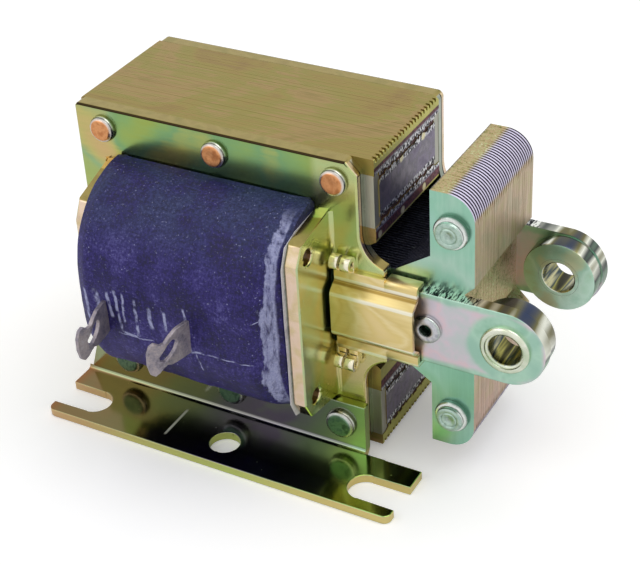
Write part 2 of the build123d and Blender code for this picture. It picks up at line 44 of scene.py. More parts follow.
# Sizes that the dressed pieces share with the frame, in millimetres
AXIS_HEIGHT = 34.8
FRAME_BOTTOM = 1.0
FRAME_TOP = 67.1
STACK_LEFT = -35.9
POLE_FACE = 29.1
HALF_STACK = 13.85
WINDOW_LEFT = -26.1
WINDOW_RIGHT = 18.1
WINDOW_HALF_HEIGHT = 21.6
MOUTH_HALF_HEIGHT = 13.7
POLE_CHAMFER_RUN = 1.6
POLE_CHAMFER_RISE = 1.1
SHADING_BAR = 2.0
SHADING_HALF_HEIGHT = 5.6
SHADING_FLOOR = 26.89
SHADING_FACE = 28.95
UPPER_SHADING_CENTRE = 58.1
LOWER_SHADING_CENTRE = 9.0
PLATE_OUTER = 16.65
BRACKET_OUTER = 18.55
COIL_LEFT = -25.85
COIL_RIGHT = 17.85
COIL_HALF_DEPTH = 36.3
COIL_HALF_HEIGHT = 21.4
COIL_RISE = 1.8
PLUNGER_INNER = 40.1
PLUNGER_OUTER = 49.05
PLUNGER_HALF_HEIGHT = 28.7
PLUNGER_HALF_STACK = 11.25
PLUNGER_HALF_DEPTH = 13.65
PLUNGER_LEG_END = -14.7
PLUNGER_LEG_HALF_HEIGHT = 9.8
PLUNGER_SHOULDER_START = 32.8
PLUNGER_SHOULDER_HALF_HEIGHT = 14.6
PLUNGER_CORNER_RADIUS = 5.5
PLUNGER_NOTCH_HALF_HEIGHT = 9.9
PLUNGER_NOTCH_DEPTH = 3.0
STRAP_OUTER = 16.25
FRAME_RIVET_ROW = (-29.1, -3.4, 22.3)
UPPER_RIVET_HEIGHT = 62.7
LOWER_RIVET_HEIGHT = 7.8
ARM_RIVET_X = 44.575
ARM_RIVET_OFFSET = 21.0
STRAP_RIVET_X = 40.5
PEENED_HEAD = 1.5
PEENED_SHANK = 1.9
BUTTON_HEAD = 2.2
BUTTON_SHANK = 2.2
BUTTON_RADIUS = 3.5
TUBE_HEAD = 1.1
TUBE_SHANK = 2.1
TUBE_BORE = 1.2
COVERED_RIVET_X = 34.6
LINK_EYE_X = 56.4
LINK_BORE = 3.175

# The camera, worked out from the straight edges of the object in the photograph
CAMERA_PLACE = Vector((147.32, -236.17, 208.74)) * MM
CAMERA_YAW = math.radians(30.63)
CAMERA_PITCH = math.radians(33.77)
CAMERA_ROLL = math.radians(-3.45)
FOCAL_PIXELS = 1593.87
PHOTO_WIDTH = 640
PHOTO_HEIGHT = 565
AXIS_PIXEL = (317.05, 286.36)
SENSOR_WIDTH = 36.0


def display(red, green, blue):
    """Return a linear colour from display values out of 255."""
    linear = []
    for value in (red, green, blue):
        share = value / 255
        linear.append(((share + 0.055) / 1.055) ** 2.4 if share > 0.04045 else share / 12.92)
    return (*linear, 1.0)


def add_object(name, data):
    """Put an object with this mesh, lens or lamp in the scene."""
    made = bpy.data.objects.new(name, data)
    bpy.context.scene.collection.objects.link(made)
    return made


def add_camera():
    """Place the camera that the photograph was taken with."""
    forward = Vector((-math.sin(CAMERA_YAW) * math.cos(CAMERA_PITCH),
                      math.cos(CAMERA_YAW) * math.cos(CAMERA_PITCH),
                      -math.sin(CAMERA_PITCH)))
    right = Vector((math.cos(CAMERA_YAW), math.sin(CAMERA_YAW), 0))
    up = right.cross(forward)
    turned_right = math.cos(CAMERA_ROLL) * right + math.sin(CAMERA_ROLL) * up
    turned_up = -math.sin(CAMERA_ROLL) * right + math.cos(CAMERA_ROLL) * up
    turn = Matrix((turned_right, turned_up, -forward)).transposed()
    lens = bpy.data.cameras.new("photo_camera")
    lens.sensor_width = SENSOR_WIDTH
    lens.lens = FOCAL_PIXELS / PHOTO_WIDTH * SENSOR_WIDTH
    lens.shift_x = (PHOTO_WIDTH / 2 - AXIS_PIXEL[0]) / PHOTO_WIDTH
    lens.shift_y = (AXIS_PIXEL[1] - PHOTO_HEIGHT / 2) / PHOTO_WIDTH
    lens.clip_start = 0.01
    camera = add_object("photo_camera", lens)
    camera.matrix_world = Matrix.Translation(CAMERA_PLACE) @ turn.to_4x4()
    bpy.context.scene.camera = camera


add_camera()


class Field:
    """A number or colour that varies over a surface, held as a node's output."""

    def __init__(self, finish, socket):
        self.finish = finish
        self.socket = socket

    def maths(self, operation, *values):
        """Return one Math node's result."""
        return self.finish.node("ShaderNodeMath", dict(enumerate(values)), operation=operation)

    def __add__(self, other):
        return self.maths("ADD", self, other)

    def __radd__(self, other):
        return self.maths("ADD", other, self)

    def __sub__(self, other):
        return self.maths("SUBTRACT", self, other)

    def __rsub__(self, other):
        return self.maths("SUBTRACT", other, self)

    def __mul__(self, other):
        return self.maths("MULTIPLY", self, other)

    def __rmul__(self, other):
        return self.maths("MULTIPLY", other, self)

    def __truediv__(self, other):
        return self.maths("DIVIDE", self, other)

    def __pow__(self, other):
        return self.maths("POWER", self, other)

    def __abs__(self):
        return self.maths("ABSOLUTE", self)

    def least(self, other):
        """Return the smaller of this and another."""
        return self.maths("MINIMUM", self, other)

    def most(self, other):
        """Return the larger of this and another."""
        return self.maths("MAXIMUM", self, other)

    def ramp(self, low, high):
        """Return this eased from 0 at low to 1 at high."""
        values = {"Value": self, "From Min": low, "From Max": high}
        return self.finish.node("ShaderNodeMapRange", values, interpolation_type="SMOOTHSTEP")


class Finish:
    """The procedural material of one kind of surface; its x, y and z are in millimetres."""

    def __init__(self, name, **constants):
        self.material = bpy.data.materials.new(name)
        self.material.use_nodes = True
        self.tree = self.material.node_tree
        self.shader = self.tree.nodes["Principled BSDF"]
        for socket, value in constants.items():
            self.shader.inputs[socket.replace("_", " ")].default_value = value
        self.place = self.node("ShaderNodeTexCoord", output="Object")
        scaled = {0: self.place, "Scale": 1 / MM}
        self.x, self.y, self.z = self.split(self.node("ShaderNodeVectorMath", scaled, operation="SCALE"))
        facing = self.node("ShaderNodeTexCoord", output="Normal")
        self.facing_x, self.facing_y, self.facing_z = self.split(facing)

    def node(self, kind, values=None, output=0, **settings):
        """Add a node, set its settings and inputs, and return one of its outputs."""
        made = self.tree.nodes.new(kind)
        for setting, value in settings.items():
            setattr(made, setting, value)
        for key, value in (values or {}).items():
            if isinstance(value, Field):
                self.tree.links.new(value.socket, made.inputs[key])
            else:
                made.inputs[key].default_value = value
        return Field(self, made.outputs[output])

    def split(self, vector):
        """Return a vector's three numbers."""
        made = self.node("ShaderNodeSeparateXYZ", {"Vector": vector}).socket.node
        return [Field(self, socket) for socket in made.outputs]

    def noise(self, size, detail=3.0, roughness=0.55, stretch=(1, 1, 1), distortion=0.0, shift=0.0):
        """Return cloudy noise whose features are about size millimetres wide."""
        values = {"Vector": self.place, "Scale": stretch, "Location": (shift, shift, shift)}
        place = self.node("ShaderNodeMapping", values)
        values = {"Vector": place, "Scale": 1 / (size * MM), "Detail": detail,
                  "Roughness": roughness, "Distortion": distortion}
        return self.node("ShaderNodeTexNoise", values)

    def cells(self, size):
        """Return the distance to the nearest of scattered points about size millimetres apart."""
        return self.node("ShaderNodeTexVoronoi", {"Vector": self.place, "Scale": 1 / (size * MM)})

    def tones(self, share, *colours):
        """Return evenly spaced colours along a field from 0 to 1."""
        made = self.node("ShaderNodeValToRGB", {"Fac": share})
        stops = made.socket.node.color_ramp.elements
        for index, colour in enumerate(colours):
            place = index / (len(colours) - 1)
            stop = stops[0] if index == 0 else stops[-1] if place == 1 else stops.new(place)
            stop.position = place
            stop.color = display(*colour)
        return made

    def blend(self, share, first, second):
        """Return one colour turning into another as share goes from 0 to 1."""
        values = {0: share, 6: first, 7: second}
        return self.node("ShaderNodeMix", values, output=2, data_type="RGBA")

    def shaded(self, colour, share):
        """Return a colour multiplied by a field."""
        grey = self.node("ShaderNodeCombineXYZ", {0: share, 1: share, 2: share})
        return self.node("ShaderNodeMix", {0: 1.0, 6: colour, 7: grey}, output=2,
                         data_type="RGBA", blend_type="MULTIPLY")

    def done(self, colour, roughness, relief, depth, strength=0.3):
        """Wire up the colour, roughness and relief, depth millimetres deep, and return the material."""
        self.send("Base Color", colour)
        self.send("Roughness", roughness)
        values = {"Height": relief, "Distance": depth * MM, "Strength": strength}
        self.send("Normal", self.node("ShaderNodeBump", values))
        return self.material

    def send(self, socket, field):
        """Wire a field to one of the shader's sockets."""
        self.tree.links.new(field.socket, self.shader.inputs[socket])


def side_plate_cut(finish):
    """Return where a side plate shows its cut thickness instead of its broad faces."""
    side = abs(finish.y)
    in_plate = side.ramp(PLATE_OUTER + 0.02, PLATE_OUTER - 0.02)
    flat_edge = in_plate * abs(finish.facing_y).ramp(0.6, 0.4)
    on_flange = side.ramp(PLATE_OUTER + 2.6, PLATE_OUTER + 3.0)
    return flat_edge.most(on_flange * abs(finish.facing_x).ramp(0.6, 0.4))


def side_plate_colour(finish, colour, drift):
    """Return the side plates' tint with a painted pale sheen towards the flanges, pink cut edges, a painted
    shadow line on the end beside the pole and a painted dark reflection along the rounded top edge.
    """
    side = abs(finish.y)
    # Painted sheen: paler tones towards the right flange and, less strongly, towards the left one.
    folded = finish.x.ramp(16.8, 19.0) * 0.8 + finish.x.ramp(-25.6, -28.0) * 0.3
    colour = finish.blend(folded, colour, finish.tones(drift, *SHEEN_TONES))
    soft = finish.noise(3.4, 2.0, 0.4, shift=1.0).ramp(0.15, 0.85)
    edge = finish.tones(soft, *CUT_EDGE_TONES)
    edge = finish.blend(finish.facing_z.ramp(0.6, 0.8), edge, finish.tones(soft, *TOP_EDGE_TONES))
    end_on = finish.facing_x.ramp(0.6, 0.8) * side.ramp(PLATE_OUTER + 0.1, PLATE_OUTER)
    beside_pole = end_on * side.ramp(PLATE_MIDDLE + 0.05, PLATE_MIDDLE - 0.05)
    edge = finish.blend(beside_pole, edge, finish.tones(soft, (140, 150, 136), (176, 184, 170)))
    # Painted shadow: a black line on the plate's end between the grey-green strip beside the pole and the
    # pink edge.
    split = end_on * abs(side - PLATE_MIDDLE).ramp(0.2, 0.12)
    edge = finish.blend(split, edge, display(22, 18, 16))
    colour = finish.blend(side_plate_cut(finish), colour, edge)
    # Painted dark reflection along the rounded top edge on the outer side of the plates.
    rolled = finish.facing_z.ramp(0.2, 0.35) * finish.facing_z.ramp(0.97, 0.88)
    rolled = rolled * finish.z.ramp(FRAME_TOP - 1.1, FRAME_TOP - 0.7) * abs(finish.facing_x).ramp(0.5, 0.3)
    rolled = rolled * side.ramp(PLATE_MIDDLE - 0.05, PLATE_MIDDLE + 0.25)
    return finish.blend(rolled, colour, display(52, 42, 26))


def plated_zinc(name, tones, shift, brushing, smoothness, dressed=None):
    """Return chromate zinc plating whose tint drifts with the thickness of its film."""
    finish = Finish(name, Metallic=1.0)
    film = finish.noise(FILM_SIZE, 1.5, 0.4, distortion=0.5, shift=shift)
    cloud = finish.noise(FILM_SIZE / 4, 3.0, 0.5, shift=shift + 3.0)
    grain = finish.noise(0.7, 4.0, 0.7, stretch=brushing, shift=shift)
    share = (film * 0.85 + cloud * 0.16 + grain * 0.06 - 0.04).ramp(0.28, 0.76)
    colour = finish.tones(share, *tones)
    if dressed:
        colour = dressed(finish, colour, (film + cloud * 0.2 - 0.1).ramp(0.3, 0.7))
    pits = finish.cells(1.7).ramp(0.1, 0.02)
    specks = finish.noise(0.5, 2.0).ramp(0.66, 0.74) * pits
    colour = finish.shaded(colour, 0.88 + grain * 0.16 - specks * 0.4)
    scuffs = finish.noise(5.0, 5.0, 0.7, stretch=brushing, shift=shift + 7.0).ramp(0.5, 0.75)
    return finish.done(colour, smoothness + scuffs * 0.125 + specks * 0.3,
                       grain * 0.6 + cloud * 0.3 - pits * 0.3, 0.015)


ALONG_X = (0.06, 1, 1)
ALONG_Z = (1, 1, 0.06)
FILM_SIZE = 30.0
PLATE_MIDDLE = (HALF_STACK + PLATE_OUTER) / 2

CUT_EDGE_TONES = ((228, 202, 166), (234, 208, 186), (220, 198, 156), (240, 218, 196))
# Paler tones painted towards the flanges as a sheen
SHEEN_TONES = ((214, 198, 146), (208, 206, 142), (192, 208, 150), (212, 204, 140), (196, 210, 162),
              (224, 200, 150))
TOP_EDGE_TONES = ((150, 134, 80), (164, 148, 90), (144, 134, 76))
SIDE_TONES = ((192, 172, 100), (174, 174, 94), (160, 178, 94), (146, 178, 108), (130, 172, 120),
              (184, 184, 102), (204, 168, 112))
# Tones of the feet's flat faces, darker than the leg's as a painted dark reflection
FOOT_TONES = ((128, 106, 70), (112, 112, 74), (98, 106, 82), (94, 96, 98), (104, 98, 110),
              (116, 136, 96), (164, 188, 104))
LEG_TONES = ((166, 176, 136), (152, 158, 132), (138, 138, 130), (136, 132, 138), (140, 150, 136),
             (158, 196, 162))
ARM_TONES = ((138, 192, 166), (152, 204, 180), (166, 212, 194), (156, 206, 182), (178, 212, 194),
             (148, 198, 174), (190, 206, 168))
BRASS_TONES = ((230, 206, 144), (238, 214, 154), (232, 208, 140), (240, 220, 166), (224, 200, 134),
               (234, 212, 150), (242, 224, 172))
side_zinc = plated_zinc("side_plate_zinc", SIDE_TONES, 1.0, ALONG_X, 0.20, side_plate_colour)
arm_zinc = plated_zinc("arm_plate_zinc", ARM_TONES, 2.0, ALONG_Z, 0.28)


# Heights from the axis of the guides' ridges, where a highlight is painted, and folds, where a shade is
# painted
GUIDE_RIDGES = (4.75, 7.3, -4.15, -8.5)
GUIDE_FOLDS = (6.45, 6.9, -5.7, -6.3)


def guide_finish():
    """Return the guides' pale gold plating, with painted highlights along its ridges and curls and a painted
    ochre shade in its folds.
    """
    finish = Finish("guide_brass", Metallic=1.0)
    film = finish.noise(14.0, 2.0, 0.5, distortion=0.5, shift=6.0)
    grain = finish.noise(0.7, 4.0, 0.7, stretch=ALONG_X, shift=6.0)
    colour = finish.tones((film + grain * 0.1).ramp(0.28, 0.76), *BRASS_TONES)
    height = finish.z - AXIS_HEIGHT
    wander = height + (grain - 0.5) * 0.2
    # Painted highlights along the ridges and painted ochre shade in the folds.
    ridges = reduce(Field.most, [abs(wander - ridge).ramp(0.5, 0.2) for ridge in GUIDE_RIDGES])
    folds = reduce(Field.most, [abs(wander - fold).ramp(0.34, 0.1) for fold in GUIDE_FOLDS])
    colour = finish.blend(folds * 0.8, colour, display(150, 118, 44))
    # Painted highlight on the curled clips, which are also made smoother.
    curled = abs(height).ramp(9.6, 10.2)
    colour = finish.blend((ridges * 0.9).most(curled * 0.8), colour, display(250, 246, 226))
    return finish.done(finish.shaded(colour, 0.9 + grain * 0.14), 0.24 + grain * 0.14 - curled * 0.1,
                       grain * 0.6 + ridges * 0.3 - folds * 0.5, 0.03, 0.4)


def eye_distance(finish):
    """Return the distance from the axis of the link eyes."""
    off_x = finish.x - LINK_EYE_X
    off_z = finish.z - AXIS_HEIGHT
    return (off_x * off_x + off_z * off_z) ** 0.5


def bushing_finish():
    """Return the bushings' bright turned metal, with painted shade and painted reflections in bands inside
    the bore.
    """
    finish = Finish("bushing_steel", Metallic=1.0)
    cloud = finish.noise(5.0, 2.0, shift=2.0).ramp(0.3, 0.7)
    grain = finish.noise(0.4, 3.0)
    bright = finish.tones(cloud, (206, 214, 186), (230, 232, 216), (196, 210, 182))
    # Painted shade and reflections: dark, olive, teal and pale bands inside the bore.
    band = finish.noise(1.8, 2.0, 0.5, stretch=(1, 0.1, 1), shift=3.0).ramp(0.32, 0.68)
    bore = finish.tones(band, (50, 50, 36), (156, 152, 88), (38, 62, 74), (196, 192, 150))
    in_bore = eye_distance(finish).ramp(LINK_BORE + 0.32, LINK_BORE + 0.1)
    return finish.done(finish.blend(in_bore, bright, bore), 0.16 + grain * 0.14, grain, 0.01)


def painted_side_reflections(finish):
    """Return painted reflections for a link's or washer's narrow side: navy, olive and white bands."""
    band = finish.noise(6.5, 1.0, 0.5, stretch=(1, 0.1, 1), shift=1.0).ramp(0.34, 0.66)
    return finish.tones(band, (50, 62, 90), (112, 108, 70), (232, 234, 220), (70, 76, 74), (144, 178, 150))


def strap_finish():
    """Return the links' plating: lilac in the middle, mint round the eye, painted reflections banded on the
    edges and a painted highlight and shade on the top edge over the plunger.
    """
    finish = Finish("strap_steel", Metallic=1.0)
    film = finish.noise(6.0, 3.0, 0.5, shift=8.0)
    grain = finish.noise(0.7, 4.0, 0.7, stretch=ALONG_X)
    near_edge = abs(finish.z - AXIS_HEIGHT).ramp(5.4, 7.6)
    near_eye = eye_distance(finish).ramp(9.0, 5.8)
    mint = (near_eye.most(near_edge * 0.8) + film - 0.5).ramp(0.15, 0.8)
    patch = film.ramp(0.3, 0.7)
    middle = finish.tones(patch, (206, 200, 212), (222, 200, 208), (212, 204, 212), (198, 206, 206))
    green = finish.tones(patch, (148, 194, 170), (178, 214, 194), (160, 200, 182))
    face = finish.blend(mint, middle, green)
    cut = abs(finish.facing_y).ramp(0.6, 0.4)
    colour = finish.blend(cut, face, painted_side_reflections(finish))
    # Painted highlight and shade: a jagged black, grey and white band on the link's top edge where it lies
    # over the plunger.
    fret = finish.noise(0.4, 3.0, 0.7, stretch=(1, 0.2, 1)).ramp(0.4, 0.56)
    over_plate = finish.x.ramp(51.0, 50.0) * finish.facing_z.ramp(0.7, 0.9)
    jagged_with_painted_shade = finish.tones(fret, (24, 24, 32), (110, 112, 112), (232, 234, 226))
    colour = finish.blend(over_plate * cut, colour, jagged_with_painted_shade)
    return finish.done(colour, 0.24 + grain * 0.14, grain * 0.6 + film * 0.3, 0.015)


def washer_finish():
    """Return the thick washers' plating: mint to olive faces, with painted reflections banded on the sides.
    """
    finish = Finish("washer_steel", Metallic=1.0)
    film = finish.noise(8.0, 2.0, 0.5, shift=5.0)
    grain = finish.noise(0.5, 4.0, 0.7)
    face = finish.tones((film + grain * 0.1 - 0.05).ramp(0.3, 0.7), (176, 186, 150), (176, 210, 188),
                        (190, 218, 202), (168, 204, 184), (196, 200, 166))
    side = abs(finish.facing_y).ramp(0.55, 0.35)
    return finish.done(finish.blend(side, face, painted_side_reflections(finish)), 0.28 + grain * 0.16 - side * 0.12,
                       grain * 0.6 + film * 0.3, 0.012)


washer_steel = washer_finish()
guide_brass = guide_finish()
bushing_steel = bushing_finish()
strap_steel = strap_finish()


def foot_finish():
    """Return the feet's glossy chromate, brown at the left and green at the right; its flat faces are painted
    darker than the upright leg, a painted dark reflection.
    """
    finish = Finish("foot_zinc", Metallic=1.0)
    film = finish.noise(16.0, 2.0, 0.5, distortion=0.8, shift=4.0)
    grain = finish.noise(0.7, 4.0, 0.7, stretch=ALONG_X)
    along = finish.x.ramp(-44, 46)
    share = (along * 0.85 + film * 0.35 - 0.04).ramp(0.1, 0.9)
    colour = finish.tones(share, *FOOT_TONES)
    # The upright leg takes paler tones; the darker tones left on the flat faces are a painted dark
    # reflection.
    upright = abs(finish.facing_y).ramp(0.5, 0.8)
    colour = finish.blend(upright, colour, finish.tones(along + film * 0.3 - 0.15, *LEG_TONES))
    edge = finish.tones(along + grain * 0.2, (222, 170, 138), (214, 212, 134),
                        (208, 220, 130), (226, 208, 140))
    on_top = finish.facing_z.ramp(0.6, 0.8)
    # A pale line, also rougher, across the top of the foot.
    pale_line = abs(finish.x + 12.73).ramp(0.4, 0.15) * on_top
    pale_line = pale_line * finish.y.ramp(-31.6, -30.6) * finish.y.ramp(-21.8, -22.8)
    colour = finish.blend(pale_line * (0.4 + film), colour, display(236, 236, 226))
    prong = finish.x.ramp(-37, -42)
    colour = finish.blend(prong * 0.8, colour, display(150, 90, 50))
    cut = finish.z.ramp(2.2, 1.85) * abs(finish.facing_z).ramp(0.6, 0.4)
    colour = finish.blend(cut, colour, edge)
    specks = finish.cells(2.4).ramp(0.09, 0.03) * finish.noise(6.0, 2.0).ramp(0.45, 0.6)
    return finish.done(finish.shaded(colour, 0.86 + grain * 0.16 + specks * 0.5),
                       0.11 + film * 0.06 + specks * 0.4 + pale_line * 0.5,
                       grain * 0.5 + film * 0.4, 0.012)


foot_zinc = foot_finish()


def sheet_edges(finish, pitch, offset):
    """Return a field that dips at the joints between stacked sheets."""
    step = (finish.y + offset) / pitch
    saw = step.maths("FRACT", step)
    return abs(saw - 0.5).ramp(0.5, 0.36)


# Places in Y and Z of the pale marks that the staking tool left on the upper pole
STAKE_COLUMNS = (-12.3, -2.6, 6.8)
STAKE_ROWS = (61.8, 50.55)


def pole_colour(finish):
    """Return the poles' face: purple-grey, silver where the sheets are staked, with painted black shade in
    the groove gaps.
    """
    cloud = finish.noise(4.0, 4.0, 0.6, shift=5.0)
    patch = cloud.ramp(0.3, 0.7)
    plain = finish.tones(patch, (112, 104, 124), (136, 128, 146), (122, 118, 128), (150, 144, 154))
    off_upper = abs(finish.z - UPPER_SHADING_CENTRE)
    off = off_upper.least(abs(finish.z - LOWER_SHADING_CENTRE))
    staked = off.ramp(2.9, 3.3) * off.ramp(6.3, 5.9)
    # Painted shade: black in the groove gaps among the silver staked lips.
    fret = finish.noise(0.42, 3.0, 0.6, stretch=(1, 1, 0.6), shift=1.0).ramp(0.4, 0.62)
    jagged_with_painted_shade = finish.tones(fret, (26, 24, 30), (96, 94, 106), (204, 206, 210), (240, 240, 240))
    colour = finish.blend(staked, plain, jagged_with_painted_shade)
    edge = off.ramp(6.3, 6.5)
    maroon = finish.tones(fret, (60, 22, 34), (120, 62, 72))
    colour = finish.blend(edge, colour, maroon)
    outer = abs(finish.z - AXIS_HEIGHT).ramp(30.3, 30.6)
    olive = finish.tones(cloud, (150, 148, 78), (196, 192, 108), (168, 166, 88))
    colour = finish.blend(outer.most(off.ramp(8.0, 8.3)), colour, olive)
    spots = []
    for row in STAKE_ROWS:
        for column in STAKE_COLUMNS:
            off_y = finish.y - column
            off_z = finish.z - row
            spots.append(((off_y * off_y + off_z * off_z) ** 0.5 + cloud - 0.5).ramp(1.0, 0.6))
    mark = finish.tones(cloud, (212, 206, 160), (240, 232, 200))
    return finish.blend(reduce(Field.most, spots), colour, mark)


def stack_finish():
    """Return the finish of the frame's stacked sheets, ground flat along X and plated."""
    finish = Finish("frame_sheets", Metallic=1.0)
    seams = sheet_edges(finish, FRAME_PITCH, HALF_STACK)
    grain = finish.noise(0.35, 4.0, 0.7, stretch=(0.025, 1, 1), shift=3.0)
    film = finish.noise(22.0, 3.0, 0.6, distortion=1.0, shift=3.0)
    sheet_tint = finish.noise(0.7, 1.0, stretch=(0.02, 1, 0.02), shift=5.0)
    share = (film * 0.7 + grain * 0.25 + sheet_tint * 0.2 - 0.08).ramp(0.22, 0.8)
    colour = finish.tones(share, (140, 116, 74), (148, 126, 74), (154, 136, 76), (146, 138, 72),
                          (164, 138, 90), (142, 128, 72), (160, 144, 84))
    pole = finish.x.ramp(28.2, 28.9) * finish.facing_x.ramp(0.5, 0.8)
    colour = finish.blend(pole, colour, pole_colour(finish))
    return finish.done(finish.shaded(colour, 0.86 + seams * 0.04 + grain * 0.22), 0.3 + grain * 0.2,
                       seams * 0.2 + grain * 0.5, 0.015)


FRAME_SHEETS = 44
FRAME_PITCH = 2 * HALF_STACK / FRAME_SHEETS
stack_steel = stack_finish()

PLUNGER_SHEETS = 28
PLUNGER_PITCH = 2 * PLUNGER_HALF_STACK / PLUNGER_SHEETS
FACE_PLATE = PLUNGER_HALF_DEPTH - PLUNGER_HALF_STACK - 2 * PLUNGER_PITCH


def plunger_sheets_finish():
    """Return the finish of the plunger's sheets: dark leg with painted glints, plated mottled head, and
    painted shade between the sheets on the leg and round the corners.
    """
    finish = Finish("plunger_sheets", Metallic=1.0)
    seams = sheet_edges(finish, PLUNGER_PITCH, PLUNGER_HALF_STACK)
    step = (finish.y + PLUNGER_HALF_STACK) / PLUNGER_PITCH
    hollow = step.maths("FRACT", step + 40.0).ramp(0.44, 0.54)
    mottle = finish.noise(0.9, 5.0, 0.75, distortion=1.5)
    film = finish.noise(9.0, 2.0)
    top = finish.tones((mottle * 0.85 + film * 0.25).ramp(0.36, 0.74), (96, 94, 50), (150, 150, 84),
                       (200, 166, 138), (160, 172, 104), (228, 214, 188))
    streak = finish.noise(0.6, 5.0, 0.75, stretch=(1, 1, 0.03))
    outer = finish.tones(streak.ramp(0.25, 0.75), (158, 142, 114), (180, 162, 134), (196, 180, 152),
                         (220, 206, 184))
    low = finish.tones(streak.ramp(0.25, 0.75), (182, 152, 142), (212, 180, 168), (230, 206, 194))
    outer = finish.blend(finish.z.ramp(28, 8), outer, low)
    patches = finish.tones(finish.noise(5.0, 4.0, 0.6, shift=2.0).ramp(0.35, 0.65), (176, 170, 116),
                           (190, 160, 140), (150, 146, 120))
    outer = finish.blend(0.35, outer, patches)
    # Painted highlight and shade round the T's corners: pale lilac to white stripes on the sheets, near black
    # between them.
    painted_corner_stripes = finish.tones(streak, (184, 174, 212), (240, 236, 248))
    painted_corner_stripes = finish.blend(hollow, painted_corner_stripes, display(34, 26, 48))
    # Painted glints on the dark leg, and painted shade between its sheets.
    glint = mottle.ramp(0.6, 0.72)
    dark = finish.tones(mottle.ramp(0.3, 0.7), (84, 88, 116), (120, 124, 152), (150, 154, 176))
    dark = finish.blend(glint, dark, display(226, 230, 240))
    dark = finish.blend(hollow, dark, display(16, 16, 26))
    height = abs(finish.z - AXIS_HEIGHT)
    on_end = finish.x.ramp(PLUNGER_OUTER - 0.3, PLUNGER_OUTER - 0.05)
    colour = finish.blend(on_end, top, outer)
    corner = finish.x.ramp(PLUNGER_OUTER - 5.9, PLUNGER_OUTER - 4.4)
    corner = corner * height.ramp(PLUNGER_HALF_HEIGHT - 5.2, PLUNGER_HALF_HEIGHT - 4.0)
    colour = finish.blend(corner, colour, painted_corner_stripes)
    on_leg = finish.x.ramp(PLUNGER_INNER + 0.4, PLUNGER_INNER - 0.2)
    colour = finish.blend(on_leg, colour, dark)
    return finish.done(finish.shaded(colour, 0.86 + seams * 0.12 + streak * 0.08), 0.3 + mottle * 0.2,
                       seams * 0.3 + mottle * 0.4 + streak * 0.2, 0.04, 0.5)


plunger_steel = plunger_sheets_finish()


def crease(finish, start, end, width, shift):
    """Return a wandering pale line on the front of the coil between two points in X and Z."""
    along = Vector(end) - Vector(start)
    length = along.length
    along.normalize()
    from_x = finish.x - start[0]
    from_z = finish.z - start[1]
    wander = (finish.noise(3.0, 3.0, shift=shift) - 0.5) * 1.2
    reach = from_x * along.x + from_z * along.y
    off = abs(from_z * along.x - from_x * along.y + wander)
    inside = reach.ramp(-0.4, 0.4) * reach.ramp(length + 0.4, length - 0.4)
    broken = finish.noise(1.4, 3.0, shift=shift + 1.0).ramp(0.3, 0.6)
    return off.ramp(width, width * 0.3) * inside * broken * finish.y.ramp(0, -20)


# Pale creases in the tape: where each starts and ends in X and Z, and its width
CREASES = (
    ((-0.7, 39.7), (0.3, 30.2), 0.34),
    ((0.3, 30.2), (2.8, 30.5), 0.32),
    ((1.2, 30.3), (1.9, 25.9), 0.20),
    ((2.6, 30.5), (13.5, 30.8), 0.16),
    ((-23.9, 38.0), (-23.7, 31.1), 0.70),
    ((-21.4, 38.6), (-20.2, 32.0), 0.80),
    ((-18.6, 38.6), (-17.9, 33.0), 0.50),
    ((-16.7, 39.5), (-15.9, 30.6), 0.50),
    ((-14.8, 39.6), (-14.9, 32.8), 0.34),
    ((-12.0, 38.6), (-12.1, 30.3), 0.45),
    ((-15.9, 30.4), (-12.1, 30.0), 0.34),
    ((-16.8, 29.6), (-8.7, 30.1), 0.15),
    ((14.0, 40.3), (16.4, 40.7), 0.16),
    ((-9.0, 37.6), (-8.6, 33.0), 0.60),
    ((-5.6, 37.4), (-5.3, 33.4), 0.50),
)


